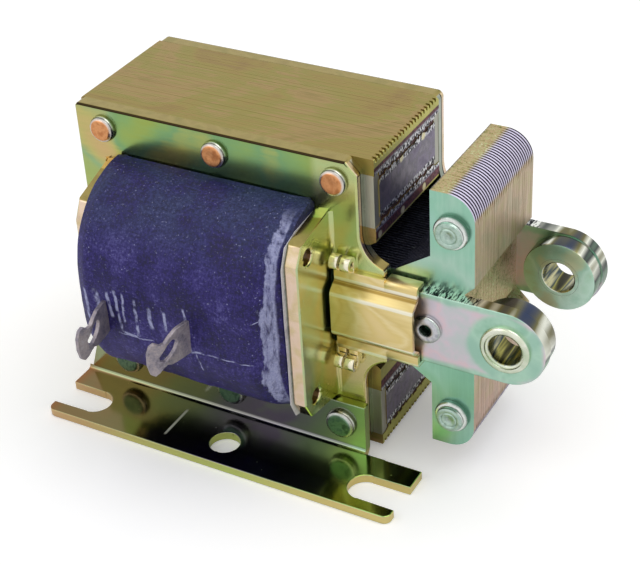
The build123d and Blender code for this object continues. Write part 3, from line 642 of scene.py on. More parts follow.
def tape_finish():
    """Return the coil's indigo cloth tape: speckled, creased, and torn at its right end."""
    finish = Finish("coil_tape", Metallic=0.0, Specular_IOR_Level=0.35)
    cloud = finish.noise(9.0, 4.0, 0.6)
    fleck = finish.noise(0.55, 3.0, 0.75)
    thread = finish.noise(0.5, 3.0, 0.7, stretch=(1, 1, 0.12), shift=5.0)
    cross_thread = finish.noise(0.5, 3.0, 0.7, stretch=(0.12, 1, 1), shift=6.0)
    weave = thread * 0.5 + cross_thread * 0.5
    share = (cloud * 0.55 + fleck * 0.6 + weave * 0.4 - 0.275).ramp(0.34, 0.72)
    colour = finish.tones(share, (16, 12, 56), (28, 20, 82), (40, 31, 102), (56, 48, 118), (88, 84, 146))
    greenish = finish.z.ramp(46, 56) * cloud.ramp(0.35, 0.6)
    green = finish.tones(fleck.ramp(0.3, 0.7), (12, 22, 40), (40, 62, 84))
    colour = finish.blend(greenish * 0.6, colour, green)
    light_fleck = finish.noise(0.45, 2.0, 0.6, shift=9.0).ramp(0.62, 0.78)
    dust = finish.cells(1.3).ramp(0.14, 0.05) * finish.noise(4.0, 2.0, shift=8.0).ramp(0.42, 0.66)
    pale = (dust * 0.8).most(light_fleck * 0.45)
    for index, (start, end, width) in enumerate(CREASES):
        pale = pale.most(crease(finish, start, end, width, 11.0 + index))
    ragged = (finish.noise(4.5, 5.0, 0.65, stretch=(1, 1, 0.5), shift=4.0) - 0.5) * 3.8
    torn = (finish.x + ragged).ramp(14.9, 15.2) * (finish.x + ragged * 0.3).ramp(17.1, 16.7)
    torn = torn * finish.y.ramp(-20, -27) * finish.z.ramp(17.0, 20.0)
    torn = torn * finish.noise(1.3, 5.0, 0.7, stretch=(1, 1, 0.3), shift=2.0).ramp(0.3, 0.56)
    pale = pale.most(torn * 0.8)
    pale_colour = finish.tones(fleck, (104, 108, 166), (168, 172, 212), (216, 218, 236))
    return finish.done(finish.blend(pale, colour, pale_colour), 0.46 + fleck * 0.2 + pale * 0.15,
                       weave * 0.5 + cloud * 0.5 + fleck * 0.4 + pale * 0.5, 0.12, 0.7)


coil_wrap = tape_finish()


def dull_tin():
    """Return the tinned, slightly oxidised metal of the solder lugs."""
    finish = Finish("dull_tin", Metallic=0.85)
    cloud = finish.noise(2.4, 4.0, 0.6)
    grain = finish.noise(0.4, 3.0)
    colour = finish.tones((cloud * 0.7 + grain * 0.4).ramp(0.3, 0.8), (112, 106, 116), (148, 142, 152),
                          (170, 160, 162), (186, 180, 188))
    return finish.done(colour, 0.42 + grain * 0.3, cloud * 0.6 + grain * 0.4, 0.06, 0.6)


def peened_rivet(name, face, rim, outer_y):
    """Return a rivet finish: a tinted face inside a turned rim painted in bright and dark bands of highlight
    and shade.
    """
    finish = Finish(name, Metallic=1.0)
    cloud = finish.noise(1.6, 4.0, 0.6)
    grain = finish.noise(0.3, 3.0)
    on_face = abs(finish.y).ramp(outer_y - 0.5, outer_y - 0.12)
    face_colour = finish.tones(cloud.ramp(0.3, 0.7), *face)
    # Painted highlight and shade: the rim's tones run in bright and dark bands with depth.
    depth = abs(finish.y).ramp(outer_y - 1.4, outer_y - 0.15)
    painted_rim_bands = finish.tones(depth + cloud * 0.3 - 0.15, *rim)
    colour = finish.blend(on_face, painted_rim_bands, face_colour)
    return finish.done(colour, 0.14 + grain * 0.2 + on_face * 0.12, cloud * 0.5 + grain * 0.5, 0.03, 0.5)


COPPER_FACE = ((188, 122, 76), (224, 160, 108), (202, 136, 88))
# Rim bands of painted highlight and shade
RIM_HIGHLIGHT_BANDS = ((130, 130, 96), (216, 218, 206), (84, 84, 70), (240, 240, 236))
GREEN_FACE = ((70, 92, 76), (112, 142, 116), (84, 110, 96))
GREY_FACE = ((150, 176, 162), (186, 208, 196), (162, 188, 176))
# Grey rim bands of painted highlight and shade
GREY_RIM_HIGHLIGHT_BANDS = ((126, 146, 136), (238, 242, 238), (66, 80, 76), (230, 236, 232), (140, 160, 150))
SILVER_FACE = ((176, 176, 184), (206, 206, 210), (166, 168, 178))

lug_tin = dull_tin()
upper_rivet_metal = peened_rivet("upper_rivet_metal", COPPER_FACE, RIM_HIGHLIGHT_BANDS, PLATE_OUTER + PEENED_HEAD)
lower_rivet_metal = peened_rivet("lower_rivet_metal", GREEN_FACE, RIM_HIGHLIGHT_BANDS, BRACKET_OUTER + PEENED_HEAD)
arm_rivet_metal = peened_rivet("arm_rivet_metal", GREY_FACE, GREY_RIM_HIGHLIGHT_BANDS, PLUNGER_HALF_DEPTH + BUTTON_HEAD)
strap_rivet_metal = peened_rivet("strap_rivet_metal", SILVER_FACE, GREY_RIM_HIGHLIGHT_BANDS, STRAP_OUTER + TUBE_HEAD)


def plain_stock(name, tones, size, stretch, metallic, roughness, depth):
    """Return a grained stock finish for a piece that is mostly hidden."""
    finish = Finish(name, Metallic=metallic)
    grain = finish.noise(size, 4.0, 0.65, stretch=stretch)
    cloud = finish.noise(size * 6, 3.0)
    colour = finish.tones((grain * 0.5 + cloud * 0.55).ramp(0.3, 0.75), *tones)
    return finish.done(colour, roughness + grain * 0.2, grain, depth, 0.6)


def shading_finish():
    """Return the shading coils' metal: pale at the side bars, dark and stained between the sheets."""
    finish = Finish("shading_copper", Metallic=1.0)
    grain = finish.noise(1.2, 4.0, 0.65, stretch=ALONG_Z)
    side = abs(finish.y).ramp(HALF_STACK - SHADING_BAR - 0.3, HALF_STACK - SHADING_BAR)
    pale = finish.tones(grain, (150, 152, 140), (178, 178, 164), (160, 146, 136))
    stained = finish.tones(finish.noise(0.8, 4.0), (20, 14, 16), (84, 34, 38), (40, 30, 34), (120, 60, 56))
    return finish.done(finish.blend(side, stained, pale), 0.3 + grain * 0.2, grain, 0.04, 0.6)


shading_copper = shading_finish()
bobbin_board = plain_stock(
    "bobbin_board", ((190, 186, 190), (216, 214, 218), (170, 166, 176)), 0.8, (1, 1, 1), 0.0, 0.5, 0.05)
magnet_wire = plain_stock(
    "magnet_wire", ((140, 66, 30), (176, 92, 48), (120, 52, 26)), 0.35, (1, 0.04, 0.04), 0.8, 0.3, 0.1)


def new_piece(name, shape, body, slot, finish, *nodes, smooth=35.0, pressed=False):
    """Make a finished piece of a bmesh, ride it on its body and let it stand for CAD nodes."""
    mesh = bpy.data.meshes.new(name)
    shape.to_mesh(mesh)
    shape.free()
    mesh.shade_smooth()
    mesh.set_sharp_from_angle(angle=math.radians(smooth))
    mesh.materials.append(finish)
    piece = add_object(name, mesh)
    if pressed:
        for polygon in mesh.polygons:
            polygon.use_smooth = max(abs(value) for value in polygon.normal) < 0.99999
        lean = piece.modifiers.new("weighted_normals", "WEIGHTED_NORMAL")
        lean.keep_sharp = True
    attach(piece, body)
    if nodes:
        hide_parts(*nodes)
    return piece


def verts_of(items):
    """Return the vertices among what a mesh operation made."""
    return [item for item in items if isinstance(item, bmesh.types.BMVert)]


def edges_of(items):
    """Return the edges among what a mesh operation made."""
    return [item for item in items if isinstance(item, bmesh.types.BMEdge)]


def extend(shape, faces, x=0.0, y=0.0):
    """Give flat faces a thickness along X or Y."""
    lifted = verts_of(bmesh.ops.extrude_face_region(shape, geom=faces)["geom"])
    bmesh.ops.translate(shape, vec=(x * MM, y * MM, 0), verts=lifted)


def join(shape, part):
    """Move one bmesh into another."""
    holder = bpy.data.meshes.new("part")
    part.to_mesh(holder)
    part.free()
    shape.from_mesh(holder)
    bpy.data.meshes.remove(holder)


def round_off(shape, geom, width, segments, affect="EDGES"):
    """Round edges off, or corners of a flat outline."""
    bmesh.ops.bevel(shape, geom=geom, offset=width * MM, offset_type="OFFSET", affect=affect,
                    segments=segments, profile=0.5, material=-1, clamp_overlap=False)


def finish_faces(shape, near=0.001):
    """Join doubled points and point the faces outwards."""
    bmesh.ops.remove_doubles(shape, verts=shape.verts, dist=near * MM)
    bmesh.ops.recalc_face_normals(shape, faces=shape.faces)


def mirror_in_y(shape):
    """Turn a shape for the front into one for the rear, or the other way round."""
    bmesh.ops.scale(shape, vec=(1, -1, 1), verts=shape.verts)
    bmesh.ops.reverse_faces(shape, faces=shape.faces)


def round_edges(piece, width):
    """Round a finished piece's sharp edges."""
    modifier = piece.modifiers.new("edge_round", "BEVEL")
    modifier.width = width * MM
    modifier.segments = 2
    modifier.limit_method = "ANGLE"
    modifier.angle_limit = math.radians(50)


def give_wall(piece, thickness, offset):
    """Give a thin skin its thickness, inwards at an offset of -1 and to both sides at 0."""
    modifier = piece.modifiers.new("wall", "SOLIDIFY")
    modifier.thickness = thickness * MM
    modifier.offset = offset


def at_fold_end(edge):
    """Return whether an edge is one of the short ones where a fold runs out, which aren't rounded."""
    middle = (edge.verts[0].co + edge.verts[1].co) / 2
    beside_fold = PLATE_OUTER + 0.05 < abs(middle.y) / MM < PLATE_OUTER + 4.05
    return beside_fold and edge.calc_length() < 0.9 * MM


def roundable(edge):
    """Return whether an edge is clear of fold ends and of the stack that its plate lies on."""
    if any(at_fold_end(other) for vert in edge.verts for other in vert.link_edges):
        return False
    outermost = max(abs(vert.co.y) for vert in edge.verts)
    return edge.calc_length() > 0.12 * MM and outermost > (HALF_STACK + 0.05) * MM


def softened(node, width, cuts):
    """Return a copy of a CAD node with its sharp edges rounded over; cuts split its holes for that."""
    shape = bmesh.new()
    shape.from_mesh(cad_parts[node].data)
    bmesh.ops.remove_doubles(shape, verts=shape.verts, dist=0.003 * MM)
    for axis, place in cuts:
        everything = list(shape.verts) + list(shape.edges) + list(shape.faces)
        normal = Vector((axis == "x", 0, axis == "z"))
        halves = bmesh.ops.bisect_plane(shape, geom=everything, plane_co=normal * place * MM, plane_no=normal)
        for edge in edges_of(halves["geom_cut"]):
            edge.seam = True
    bmesh.ops.dissolve_limit(shape, angle_limit=math.radians(1.0), use_dissolve_boundaries=False,
                             verts=shape.verts, edges=shape.edges, delimit={"SEAM"})
    edges = [edge for edge in shape.edges
             if len(edge.link_faces) == 2 and edge.calc_face_angle() > SHARP_ANGLE and roundable(edge)]
    round_off(shape, edges, width, 3)
    return shape


SHARP_ANGLE = math.radians(28)
FLANGE_HOLE_OFFSET = 16.0
FOOT_HOLE_ROW = (-32.3, 0.0, 32.3)
FLANGE_HOLES = (("z", AXIS_HEIGHT - FLANGE_HOLE_OFFSET), ("z", AXIS_HEIGHT + FLANGE_HOLE_OFFSET))
PLATE_CUTS = tuple(("x", x) for x in FRAME_RIVET_ROW) + FLANGE_HOLES
FOOT_CUTS = tuple(("x", x) for x in FOOT_HOLE_ROW + FRAME_RIVET_ROW)
STRAP_CUTS = tuple(("x", x) for x in (COVERED_RIVET_X, STRAP_RIVET_X, LINK_EYE_X))


def dress_softened():
    """Replace the plain stampings with copies whose edges are rounded as a press leaves them."""
    stampings = (
        ("side_plate", "frame", "zinc_plate", side_zinc, 0.45, PLATE_CUTS),
        ("mounting_bracket", "frame", "zinc_plate_foot", foot_zinc, 0.2, FOOT_CUTS),
        ("link_strap", "plunger", "link_steel", strap_steel, 0.22, STRAP_CUTS),
    )
    for stamping, body, slot, finish, width, cuts in stampings:
        for side in ("front", "rear"):
            node = f"{side}_{stamping}"
            shape = softened(node, width, cuts)
            new_piece(f"{node}_pressed", shape, body, slot, finish, node, pressed=True)


dress_softened()

# Outline of a solder lug: reach from its root, and height above the lug's middle
LUG_OUTLINE = (
    (-0.7, 4.3), (2.3, 4.7), (4.8, 4.7), (6.8, 4.0), (8.2, 3.2), (9.3, 3.3), (10.3, 4.1), (11.2, 3.6),
    (11.8, 2.0), (11.9, -0.6), (11.5, -2.6), (10.7, -3.3), (9.8, -2.9), (8.9, -2.0), (8.1, -1.7),
    (7.1, -2.3), (5.6, -2.5), (3.7, -2.6), (-0.7, -2.7),
)
LUG_HOLE = ((4.9, 1.7), (5.2, 2.6), (6.2, 3.0), (7.6, 2.5), (8.8, 1.6), (9.6, 0.6), (9.5, -0.3), (8.6, -0.7),
            (7.0, -0.3), (5.6, 0.6))
LUG_THICKNESS = 0.8
LUG_ROOT_Y = -34.7
LUG_BEND_START = 8.6
LUG_BEND_SLOPE = 0.42


def build_lug(side, root_x, middle, turn):
    """Cut a solder lug with its slotted hole, bend its tip round and turn it on its root."""
    shape = bmesh.new()
    rim = [shape.verts.new((0, reach * MM, height * MM)) for reach, height in LUG_OUTLINE]
    hole = [shape.verts.new((0, reach * MM, height * MM)) for reach, height in LUG_HOLE]
    edges = []
    for loop in (rim, hole):
        for index, vert in enumerate(loop):
            edges.append(shape.edges.new((vert, loop[index - 1])))
    bmesh.ops.triangle_fill(shape, edges=edges, use_beauty=True, use_dissolve=False)
    bmesh.ops.subdivide_edges(shape, edges=list(shape.edges), cuts=2)
    for vert in shape.verts:
        past = max(vert.co.y / MM - LUG_BEND_START, 0.0)
        vert.co.x -= past * LUG_BEND_SLOPE * MM
    bmesh.ops.recalc_face_normals(shape, faces=shape.faces)
    bmesh.ops.solidify(shape, geom=list(shape.faces), thickness=LUG_THICKNESS * MM)
    bmesh.ops.recalc_face_normals(shape, faces=shape.faces)
    mirror_in_y(shape)
    matrix = Matrix.Rotation(math.radians(turn), 3, "Z")
    bmesh.ops.rotate(shape, cent=(0, 0, 0), matrix=matrix, verts=shape.verts)
    place = Vector((root_x + LUG_THICKNESS / 2, LUG_ROOT_Y, middle)) * MM
    bmesh.ops.translate(shape, vec=place, verts=shape.verts)
    piece = new_piece(f"{side}_lug_cut", shape, "frame", "tinned_metal", lug_tin, f"{side}_solder_lug",
                      smooth=50.0)
    round_edges(piece, 0.12)


build_lug("left", -19.6, 32.0, 10.0)
build_lug("right", 0.2, 32.9, -10.0)

GUIDE_SHEET = 0.9
GUIDE_LEFT = 21.7
GUIDE_LIP_START = 32.4
GUIDE_RIGHT = 39.1
GUIDE_WING_Y = -17.1
GUIDE_CHANNEL_Y = -19.25
GUIDE_LIP_Y = -14.4
GUIDE_LIP_HEIGHT = 8.65
GUIDE_BEND = 0.45
CURL_START = 9.0
CURL_CENTRE = 11.5
CURL_RADIUS = 1.15
CURL_RUNS = ((GUIDE_LEFT + 0.2, GUIDE_LEFT + 1.9), (GUIDE_LEFT + 2.5, GUIDE_LEFT + 4.4))
# Half section of the guide above and below the middle: depth and height from the axis
GUIDE_UPPER = ((GUIDE_WING_Y, 9.3), (GUIDE_WING_Y, 6.5), (GUIDE_CHANNEL_Y, 4.9))
GUIDE_LOWER = ((GUIDE_CHANNEL_Y, -4.3), (GUIDE_WING_Y, -5.8), (GUIDE_WING_Y, -9.0))


def guide_strip(section, x_low, x_high):
    """Return one run of folded sheet along X, its folds rounded."""
    shape = bmesh.new()
    points = [shape.verts.new((x_low * MM, y * MM, (AXIS_HEIGHT + z) * MM)) for y, z in section]
    edges = [shape.edges.new(pair) for pair in zip(points, points[1:])]
    far = verts_of(bmesh.ops.extrude_edge_only(shape, edges=edges)["geom"])
    bmesh.ops.translate(shape, vec=((x_high - x_low) * MM, 0, 0), verts=far)
    folds = [edge for edge in shape.edges if len(edge.link_faces) == 2 and edge.calc_face_angle() > 0.1]
    round_off(shape, folds, GUIDE_BEND, 4)
    return shape


def guide_curl(shape, x_low, x_high, side):
    """Add one curled tab: a strip that leaves a wing and rolls back over itself."""
    centre = Vector((0, GUIDE_WING_Y - CURL_RADIUS, AXIS_HEIGHT + side * CURL_CENTRE)) * MM
    start_z = AXIS_HEIGHT + side * CURL_START
    start = [shape.verts.new((x * MM, GUIDE_WING_Y * MM, start_z * MM)) for x in (x_low, x_high)]
    drawn = bmesh.ops.extrude_edge_only(shape, edges=[shape.edges.new(start)])["geom"]
    far = verts_of(drawn)
    bmesh.ops.translate(shape, vec=(0, 0, side * (CURL_CENTRE - CURL_START) * MM), verts=far)
    tip = [edge for edge in edges_of(drawn) if all(vert in far for vert in edge.verts)]
    bmesh.ops.spin(shape, geom=far + tip, cent=centre, axis=(1, 0, 0), dvec=(0, 0, 0),
                   angle=side * math.radians(290), steps=14, use_merge=False)


def build_guide(node, side):
    """Fold a brass guide: a channel over the strap with wings, lips and curled clips."""
    shape = guide_strip(GUIDE_UPPER + GUIDE_LOWER, GUIDE_LEFT, GUIDE_LIP_START)
    lips = ((GUIDE_LIP_Y, GUIDE_LIP_HEIGHT), (GUIDE_WING_Y, GUIDE_LIP_HEIGHT), *GUIDE_UPPER[1:],
            *GUIDE_LOWER[:-1], (GUIDE_WING_Y, -GUIDE_LIP_HEIGHT), (GUIDE_LIP_Y, -GUIDE_LIP_HEIGHT))
    lipped = guide_strip(lips, GUIDE_LIP_START, GUIDE_RIGHT)
    for height in (-1, 1):
        for x_low, x_high in CURL_RUNS:
            guide_curl(lipped, x_low, x_high, height)
    join(shape, lipped)
    finish_faces(shape, 0.01)
    if side > 0:
        mirror_in_y(shape)
    piece = new_piece(f"{node}_folded", shape, "frame", "guide_brass", guide_brass, node, smooth=50.0)
    give_wall(piece, GUIDE_SHEET, 0.0)
    round_edges(piece, 0.14)


build_guide("front_plunger_guide", -1)
build_guide("rear_plunger_guide", 1)

PAPER_X = 17.9
PAPER_THICKNESS = 0.13
PAPER_OUTLINE = ((16.7, 21.0), (24.6, 20.4), (28.6, 19.2), (30.3, 15.2), (30.5, 4.0), (30.3, -6.0),
                 (30.4, -15.6), (28.7, -19.4), (24.6, -20.6), (16.7, -21.2))


def build_end_papers():
    """Cut the insulating papers that show as a pale line between the coil and the right flanges."""
    shape = bmesh.new()
    for side in (-1, 1):
        rim = [shape.verts.new((PAPER_X * MM, side * y * MM, (AXIS_HEIGHT + z) * MM))
               for y, z in PAPER_OUTLINE]
        extend(shape, [shape.faces.new(rim)], x=PAPER_THICKNESS)
    bmesh.ops.recalc_face_normals(shape, faces=shape.faces)
    new_piece("end_papers", shape, "frame", "bobbin_board", bobbin_board)


build_end_papers()


def add_sheet(shape, outline, y_low, thickness, rounded=(), radius=0.0):
    """Add one stamped sheet from its outline in X and Z, with some of its corners rounded."""
    sheet = bmesh.new()
    corners = [sheet.verts.new((x * MM, y_low * MM, z * MM)) for x, z in outline]
    sheet.faces.new(corners)
    if rounded:
        round_off(sheet, [corners[index] for index in rounded], radius, 10, "VERTICES")
    extend(sheet, list(sheet.faces), y=thickness)
    join(shape, sheet)


SHEET_GAP = 0.012
STACK_CORNER = 0.4


def groove(centre, low, high, lip_low, lip_high):
    """Return the outline of one shading groove, going up, half closed by two staked lips."""
    lower = ((POLE_FACE, low + lip_low), (SHADING_FACE, low + lip_low), (SHADING_FACE, low),
             (SHADING_FLOOR, low))
    upper = ((SHADING_FLOOR, high), (SHADING_FACE, high), (SHADING_FACE, high - lip_high),
             (POLE_FACE, high - lip_high))
    return [(x, centre + z) for x, z in lower + upper]


def frame_sheet_outline(y, toothed, chance):
    """Return the outline of one frame sheet, a C with its mouth to the right."""
    mouth_low = AXIS_HEIGHT - MOUTH_HALF_HEIGHT
    mouth_high = AXIS_HEIGHT + MOUTH_HALF_HEIGHT
    window_low = AXIS_HEIGHT - WINDOW_HALF_HEIGHT
    window_high = AXIS_HEIGHT + WINDOW_HALF_HEIGHT
    inner = SHADING_HALF_HEIGHT - SHADING_BAR
    pole_edges = []
    for centre in (LOWER_SHADING_CENTRE, UPPER_SHADING_CENTRE):
        if abs(y) > HALF_STACK - SHADING_BAR:
            pole_edges.append(groove(centre, -SHADING_HALF_HEIGHT, SHADING_HALF_HEIGHT, 0.05, 0.05))
        else:
            lips = [chance.uniform(0.25, 0.92) for _ in range(4)]
            lower = groove(centre, -SHADING_HALF_HEIGHT, -inner, lips[0], lips[1])
            upper = groove(centre, inner, SHADING_HALF_HEIGHT, lips[2], lips[3])
            pole_edges.append(lower + upper)
    top_cut = chance.uniform(0.75, 0.95) if toothed else chance.uniform(0.1, 0.2)
    top = FRAME_TOP + chance.uniform(-0.02, 0.0)
    return [
        (STACK_LEFT + STACK_CORNER, FRAME_BOTTOM),
        (POLE_FACE - top_cut, FRAME_BOTTOM),
        (POLE_FACE, FRAME_BOTTOM + top_cut),
        *pole_edges[0],
        (POLE_FACE, mouth_low - POLE_CHAMFER_RISE),
        (POLE_FACE - POLE_CHAMFER_RUN, mouth_low),
        (WINDOW_RIGHT, mouth_low),
        (WINDOW_RIGHT, window_low),
        (WINDOW_LEFT, window_low),
        (WINDOW_LEFT, window_high),
        (WINDOW_RIGHT, window_high),
        (WINDOW_RIGHT, mouth_high),
        (POLE_FACE - POLE_CHAMFER_RUN, mouth_high),
        (POLE_FACE, mouth_high + POLE_CHAMFER_RISE),
        *pole_edges[1],
        (POLE_FACE, FRAME_TOP - top_cut),
        (POLE_FACE - top_cut, top),
        (STACK_LEFT + STACK_CORNER, top),
        (STACK_LEFT, top - STACK_CORNER),
        (STACK_LEFT, FRAME_BOTTOM + STACK_CORNER),
    ]


def build_frame_stack():
    """Stack the frame's sheets one by one."""
    chance = random.Random(11)
    shape = bmesh.new()
    for index in range(FRAME_SHEETS):
        y_low = -HALF_STACK + index * FRAME_PITCH
        outline = frame_sheet_outline(y_low + FRAME_PITCH / 2, index % 2 == 1, chance)
        add_sheet(shape, outline, y_low, FRAME_PITCH - SHEET_GAP)
    bmesh.ops.recalc_face_normals(shape, faces=shape.faces)
    new_piece("frame_sheets", shape, "frame", "field_steel", stack_steel, "field_lamination_stack")


build_frame_stack()


def plunger_sheet_outline(leg_inset, chance):
    """Return the T outline of one plunger sheet and the places of its two outer corners."""
    outer = PLUNGER_OUTER - chance.uniform(0.0, 0.04)
    tall = PLUNGER_HALF_HEIGHT - chance.uniform(0.0, 0.03)
    upper = [
        (PLUNGER_LEG_END, PLUNGER_LEG_HALF_HEIGHT - leg_inset),
        (PLUNGER_SHOULDER_START, PLUNGER_LEG_HALF_HEIGHT - leg_inset),
        (PLUNGER_INNER, PLUNGER_SHOULDER_HALF_HEIGHT),
        (PLUNGER_INNER, tall),
        (outer, tall),
        (outer, PLUNGER_NOTCH_HALF_HEIGHT),
        (outer - PLUNGER_NOTCH_DEPTH, PLUNGER_NOTCH_HALF_HEIGHT - PLUNGER_NOTCH_DEPTH),
    ]
    lower = [(x, -z) for x, z in reversed(upper)]
    outline = [(x, AXIS_HEIGHT + z) for x, z in upper + lower]
    return outline, (4, len(outline) - 5)


def plunger_stack(shape, y_low, count, chance):
    """Stack T sheets; the rolled edge of each one leaves a groove round the T's corners."""
    ridge = PLUNGER_PITCH * 0.6
    for index in range(count):
        y = y_low + index * PLUNGER_PITCH
        outline, corners = plunger_sheet_outline(0.0, chance)
        add_sheet(shape, outline, y, ridge, corners, PLUNGER_CORNER_RADIUS)
        outline, corners = plunger_sheet_outline(0.12, chance)
        add_sheet(shape, outline, y + ridge, PLUNGER_PITCH - ridge, corners, PLUNGER_CORNER_RADIUS + 0.9)


def build_plunger_stack():
    """Build the plunger: its inner sheets, and at each side two sheets under a face plate."""
    chance = random.Random(5)
    shape = bmesh.new()
    plunger_stack(shape, -PLUNGER_HALF_STACK, PLUNGER_SHEETS, chance)
    bmesh.ops.recalc_face_normals(shape, faces=shape.faces)
    new_piece("plunger_sheets", shape, "plunger", "plunger_steel", plunger_steel, "plunger_lamination_stack")
    for name, y_low, face_y in (("front", PLUNGER_PITCH * -16, -PLUNGER_HALF_DEPTH),
                                ("rear", PLUNGER_PITCH * 14, PLUNGER_HALF_DEPTH - FACE_PLATE)):
        shape = bmesh.new()
        plunger_stack(shape, y_low, 2, chance)
        outline, corners = plunger_sheet_outline(0.0, chance)
        add_sheet(shape, outline, face_y, FACE_PLATE, corners, PLUNGER_CORNER_RADIUS)
        bmesh.ops.recalc_face_normals(shape, faces=shape.faces)
        piece = new_piece(f"{name}_arm_plate", shape, "plunger", "plunger_zinc", plunger_steel,
                          f"{name}_plunger_plate")
        piece.data.materials.append(arm_zinc)
        outer = 1 if name == "rear" else -1
        for polygon in piece.data.polygons:
            if abs(polygon.center.y) > (PLUNGER_HALF_DEPTH - 0.05) * MM and polygon.normal.y * outer > 0.9:
                polygon.material_index = 1


build_plunger_stack()


def spin_profile(shape, x, z, profile, steps=40):
    """Add a piece turned about a line along Y, from a profile of radius and Y."""
    points = [shape.verts.new(((x + radius) * MM, y * MM, z * MM)) for radius, y in profile]
    edges = [shape.edges.new(pair) for pair in zip(points, points[1:])]
    bmesh.ops.spin(shape, geom=points + edges, cent=(x * MM, 0, z * MM), axis=(0, 1, 0),
                   angle=2 * math.pi, steps=steps, use_merge=True)


def both_ends(near):
    """Return a profile whose far end mirrors its near end."""
    return near + [(radius, -y) for radius, y in reversed(near)]


def headed_profile(half_grip, shank, head, height):
    """Return the profile of a peened rivet: low dome, rolled rim and straight shank."""
    top = half_grip + height
    return both_ends([
        (0.0, top - 0.12),
        (head * 0.30, top - 0.10),
        (head * 0.60, top - 0.02),
        (head * 0.72, top - 0.06),
        (head * 0.80, top - 0.34),
        (head * 0.90, top - 0.44),
        (head * 0.97, top - height * 0.55),
        (head, half_grip + height * 0.22),
        (head * 0.99, half_grip),
        (shank, half_grip),
    ])


def button_profile(half_grip, shank, head, height):
    """Return the profile of an arm rivet: a stepped button with a ring and a dimple."""
    top = half_grip + height
    return both_ends([
        (0.0, top - 0.34),
        (head * 0.16, top - 0.32),
        (head * 0.24, top - 0.12),
        (head * 0.40, top - 0.06),
        (head * 0.46, top - 0.20),
        (head * 0.52, top - 0.04),
        (head * 0.66, top),
        (head * 0.76, top - 0.16),
        (head * 0.80, top - 0.55),
        (head * 0.81, top - 0.95),
        (head * 0.92, top - 1.05),
        (head * 0.99, top - 1.35),
        (head, half_grip + 0.3),
        (head * 0.97, half_grip),
        (shank, half_grip),
    ])


def tube_profile(half_grip, shank, head, height, bore):
    """Return the profile of a tubular rivet with a rolled rim round its open end."""
    top = half_grip + height
    near = [
        (bore, top - 0.55),
        (bore + 0.15, top - 0.16),
        (bore + 0.55, top),
        (head * 0.82, top - 0.08),
        (head * 0.96, top - 0.42),
        (head, half_grip + height * 0.35),
        (head * 0.97, half_grip),
        (shank, half_grip),
    ]
    return both_ends(near) + near[:1]


BUSHING_RADIUS = 4.125
BUSHING_RIM = 5.0
WASHER_RADIUS = 7.5
WASHER_INNER_Y = 9.9
WASHER_OUTER_Y = 13.65


def build_eyes():
    """Turn the thick washers and the flared bushings of the link eyes."""
    washer = (
        (BUSHING_RADIUS + 0.04, WASHER_INNER_Y), (WASHER_RADIUS - 0.45, WASHER_INNER_Y),
        (WASHER_RADIUS - 0.13, WASHER_INNER_Y + 0.13), (WASHER_RADIUS, WASHER_INNER_Y + 0.45),
        (WASHER_RADIUS, WASHER_OUTER_Y - 0.2), (WASHER_RADIUS - 0.2, WASHER_OUTER_Y),
        (BUSHING_RADIUS + 0.04, WASHER_OUTER_Y), (BUSHING_RADIUS + 0.04, WASHER_INNER_Y),
    )
    outer_y = STRAP_OUTER
    bushing = (
        (LINK_BORE, WASHER_INNER_Y + 0.3), (LINK_BORE + 0.3, WASHER_INNER_Y),
        (BUSHING_RADIUS, WASHER_INNER_Y),
        (BUSHING_RADIUS, outer_y), (BUSHING_RIM, outer_y), (BUSHING_RIM + 0.02, outer_y + 0.25),
        (BUSHING_RIM - 0.08, outer_y + 0.62), (BUSHING_RIM - 0.4, outer_y + 0.92),
        (BUSHING_RIM - 0.75, outer_y + 0.99), (BUSHING_RIM - 1.05, outer_y + 0.88),
        (BUSHING_RIM - 1.2, outer_y + 0.55), (BUSHING_RIM - 1.3, outer_y + 0.6),
        (LINK_BORE + 0.3, outer_y + 0.5), (LINK_BORE + 0.08, outer_y + 0.3), (LINK_BORE, outer_y - 0.1),
        (LINK_BORE, WASHER_INNER_Y + 0.3),
    )
    for name, side in (("front", -1), ("rear", 1)):
        for part, profile, finish in (("washer", washer, washer_steel), ("bushing", bushing, bushing_steel)):
            shape = bmesh.new()
            spin_profile(shape, LINK_EYE_X, AXIS_HEIGHT, [(radius, side * y) for radius, y in profile], 64)
            finish_faces(shape)
            piece = new_piece(f"{name}_{part}_turned", shape, "plunger", "link_steel", finish,
                              f"{name}_link_{part}")
            piece.data.materials.append(washer_steel)
            for polygon in piece.data.polygons:
                if polygon.normal.y * side < -0.9 and abs(polygon.center.y) < (WASHER_INNER_Y + 0.1) * MM:
                    polygon.material_index = 1


build_eyes()


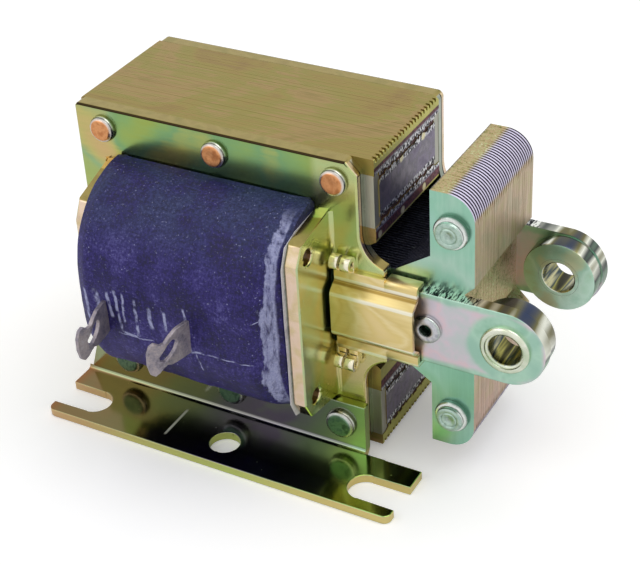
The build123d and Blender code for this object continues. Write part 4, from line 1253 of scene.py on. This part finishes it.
def build_rivets():
    """Turn every rivet, with the head that its place has in the photograph."""
    rows = (
        ("upper_frame_rivets", UPPER_RIVET_HEIGHT, PLATE_OUTER, 2.8, upper_rivet_metal),
        ("lower_frame_rivets", LOWER_RIVET_HEIGHT, BRACKET_OUTER, 3.3, lower_rivet_metal),
    )
    for node, height, half_grip, head, finish in rows:
        shape = bmesh.new()
        for x in FRAME_RIVET_ROW:
            spin_profile(shape, x, height, headed_profile(half_grip, PEENED_SHANK, head, PEENED_HEAD))
        finish_faces(shape)
        new_piece(f"{node}_peened", shape, "frame", "rivet_zinc", finish, node)
    shape = bmesh.new()
    for side in (-1, 1):
        profile = button_profile(PLUNGER_HALF_DEPTH, BUTTON_SHANK, BUTTON_RADIUS, BUTTON_HEAD)
        spin_profile(shape, ARM_RIVET_X, AXIS_HEIGHT + side * ARM_RIVET_OFFSET, profile)
    finish_faces(shape)
    new_piece("arm_rivets", shape, "plunger", "rivet_zinc", arm_rivet_metal, "plunger_rivets")
    shape = bmesh.new()
    for x, head in ((STRAP_RIVET_X, 2.95), (COVERED_RIVET_X, 2.5)):
        spin_profile(shape, x, AXIS_HEIGHT, tube_profile(STRAP_OUTER, TUBE_SHANK, head, TUBE_HEAD, TUBE_BORE))
    finish_faces(shape)
    new_piece("tube_rivets", shape, "plunger", "rivet_zinc", strap_rivet_metal, "strap_rivets")


build_rivets()

TAPE_PITCH = 0.8
TAPE_WALL = 0.48
TAPE_LIP = 0.80
COIL_CORNER = 17.5
# Half depth and corner radius of the coil at places along X
COIL_STATIONS = (
    (COIL_LEFT, 34.9, COIL_CORNER),
    (COIL_LEFT + 2.4, COIL_HALF_DEPTH, COIL_CORNER),
    (COIL_RIGHT - 4.2, COIL_HALF_DEPTH, COIL_CORNER),
    (COIL_RIGHT, 30.2, 12.0),
)


def coil_size(x):
    """Return the coil's half depth and corner radius at a place along X."""
    for low, high in zip(COIL_STATIONS, COIL_STATIONS[1:]):
        if x <= high[0]:
            share = (x - low[0]) / (high[0] - low[0])
            return [before + (after - before) * share for before, after in zip(low[1:], high[1:])]
    return COIL_STATIONS[-1][1:]


def wrinkle(place):
    """Return how far the tape stands off its smooth form at a place, in millimetres."""
    coarse = noise.noise(place / 9.0 + Vector((3.1, 1.7, 0.4)))
    fine = noise.noise(place / 2.6 + Vector((7.3, 0.2, 5.5)))
    lap = 0.14 if math.fmod(place.x + 60.0 + 0.9 * noise.noise(place / 14.0), 11.0) < 5.5 else 0.0
    return -0.28 + 0.22 * coarse + 0.10 * fine + lap


def coil_point(place, x, depth, radius):
    """Return a point of the coil's skin from its place on the widest loop."""
    side_y = math.copysign(1, place.y)
    side_z = math.copysign(1, place.z)
    y = abs(place.y)
    z = abs(place.z)
    centre = Vector((COIL_HALF_DEPTH - COIL_CORNER, COIL_HALF_HEIGHT - COIL_CORNER))
    new_centre = Vector((depth - radius, COIL_HALF_HEIGHT - radius))
    if y > centre.x and z > centre.y:
        arm = Vector((y - centre.x, z - centre.y)) / COIL_CORNER * radius
        y, z = new_centre + arm
    elif y > centre.x:
        y = depth
        z = z / centre.y * new_centre.y
    else:
        y = y / centre.x * new_centre.x
        z = COIL_HALF_HEIGHT
    rise = COIL_RISE if side_z > 0 and y > PLATE_OUTER + 0.05 else 0.0
    height = AXIS_HEIGHT + side_z * z + rise * (0.5 + 0.5 * z / COIL_HALF_HEIGHT)
    here = Vector((x, side_y * y, height))
    outward = Vector((0, side_y * y / depth, side_z * z / COIL_HALF_HEIGHT * 0.6)).normalized()
    off = wrinkle(here) if y > PLATE_OUTER + 1.0 else -0.2
    return (here + outward * off) * MM


def add_end_lips(shape, loops):
    """Close the tape's ends by a lip that turns in at each of its end loops."""
    for loop in loops:
        for vert in verts_of(bmesh.ops.extrude_edge_only(shape, edges=loop)["geom"]):
            vert.co.y *= TAPE_LIP
            vert.co.z = (vert.co.z - AXIS_HEIGHT * MM) * TAPE_LIP + AXIS_HEIGHT * MM


def build_tape():
    """Wind the tape: rounded loops along X, wrinkled where they lie on the wire."""
    shape = bmesh.new()
    for vert in bmesh.ops.create_grid(shape, x_segments=1, y_segments=1, size=1.0)["verts"]:
        vert.co = Vector((0, vert.co.x * COIL_HALF_DEPTH, vert.co.y * COIL_HALF_HEIGHT)) * MM
    round_off(shape, list(shape.verts), COIL_CORNER, 22, "VERTICES")
    for edge in list(shape.edges):
        cuts = round(edge.calc_length() / (TAPE_PITCH * MM)) - 1
        if cuts > 1:
            bmesh.ops.subdivide_edges(shape, edges=[edge], cuts=cuts)
    bmesh.ops.delete(shape, geom=list(shape.faces), context="FACES_ONLY")
    first_loop = list(shape.edges)
    loop = first_loop
    base = [vert.co / MM for vert in shape.verts]
    steps = round((COIL_RIGHT - COIL_LEFT) / TAPE_PITCH)
    rings = [{vert: index for index, vert in enumerate(shape.verts)}]
    for _ in range(steps):
        grown = bmesh.ops.extrude_edge_only(shape, edges=loop)["geom"]
        loop = edges_of(grown)
        ring = {}
        for vert in verts_of(grown):
            near = min(rings[-1], key=lambda old: (old.co - vert.co).length_squared)
            ring[vert] = rings[-1][near]
        rings.append(ring)
    for step, ring in enumerate(rings):
        x = COIL_LEFT + (COIL_RIGHT - COIL_LEFT) * step / steps
        depth, radius = coil_size(x)
        for vert, index in ring.items():
            vert.co = coil_point(base[index], x, depth, radius)
    add_end_lips(shape, (first_loop, loop))
    bmesh.ops.recalc_face_normals(shape, faces=shape.faces)
    piece = new_piece("wound_tape", shape, "frame", "coil_wrap", coil_wrap, "coil_tape", smooth=60.0)
    give_wall(piece, TAPE_WALL, -1.0)


build_tape()


def dress_carried_nodes():
    """Give the CAD nodes that stay their own materials."""
    finishes = {
        "upper_shading_coil": shading_copper,
        "lower_shading_coil": shading_copper,
        "coil_bobbin": bobbin_board,
        "coil_winding": magnet_wire,
        "left_lead_wire": lug_tin,
        "right_lead_wire": lug_tin,
    }
    for node, finish in finishes.items():
        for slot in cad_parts[node].material_slots:
            slot.material = finish


dress_carried_nodes()


def light_path(nodes, links):
    """Return the Light Path node and a socket that is 1 for the camera's rays and mirrored ones."""
    rays = nodes.new("ShaderNodeLightPath")
    seen = nodes.new("ShaderNodeMath")
    seen.operation = "MAXIMUM"
    links.new(rays.outputs["Is Camera Ray"], seen.inputs[0])
    links.new(rays.outputs["Is Glossy Ray"], seen.inputs[1])
    return rays, seen.outputs[0]


def add_floor():
    """Lay a wide pale floor under the feet, white to the camera where no shadow falls."""
    shape = bmesh.new()
    bmesh.ops.create_grid(shape, x_segments=1, y_segments=1, size=3.0)
    mesh = bpy.data.meshes.new("floor")
    shape.to_mesh(mesh)
    shape.free()
    floor = add_object("floor", mesh)
    material = bpy.data.materials.new("floor")
    material.use_nodes = True
    nodes = material.node_tree.nodes
    links = material.node_tree.links
    shader = nodes["Principled BSDF"]
    shader.inputs["Roughness"].default_value = 0.9
    shader.inputs["Specular IOR Level"].default_value = 0.0
    rays, seen = light_path(nodes, links)
    colour = nodes.new("ShaderNodeMix")
    colour.data_type = "RGBA"
    colour.inputs[6].default_value = (0.7, 0.7, 0.7, 1.0)
    colour.inputs[7].default_value = (0.95, 0.95, 0.95, 1.0)
    links.new(seen, colour.inputs[0])
    links.new(colour.outputs[2], shader.inputs["Base Color"])
    links.new(rays.outputs["Is Camera Ray"], shader.inputs["Emission Strength"])
    shader.inputs["Emission Color"].default_value = (0.22, 0.22, 0.22, 1.0)
    mesh.materials.append(material)


add_floor()

WORLD_LIGHT = 0.72


def add_studio():
    """Light the object with a pale room and two wide soft lamps."""
    world = bpy.data.worlds.new("studio")
    bpy.context.scene.world = world
    world.use_nodes = True
    nodes = world.node_tree.nodes
    links = world.node_tree.links
    sky = nodes["Background"]
    sky.inputs["Color"].default_value = (1, 1, 1, 1)
    seen = light_path(nodes, links)[1]
    strength = nodes.new("ShaderNodeMapRange")
    strength.inputs["To Min"].default_value = WORLD_LIGHT
    links.new(seen, strength.inputs["Value"])
    links.new(strength.outputs[0], sky.inputs["Strength"])
    lamps = (
        ("key_lamp", (0.22, 0.10, 0.62), 0.45, 1.0),
        ("fill_lamp", (-0.30, -0.35, 0.45), 0.40, 0.35),
    )
    for name, place, size, power in lamps:
        lamp = bpy.data.lights.new(name, "AREA")
        lamp.size = size
        lamp.energy = power
        holder = add_object(name, lamp)
        holder.location = place
        aim = Vector((0, 0, 0.03)) - Vector(place)
        holder.rotation_euler = aim.to_track_quat("-Z", "Y").to_euler()


add_studio()

bpy.context.scene.view_settings.view_transform = "Standard"
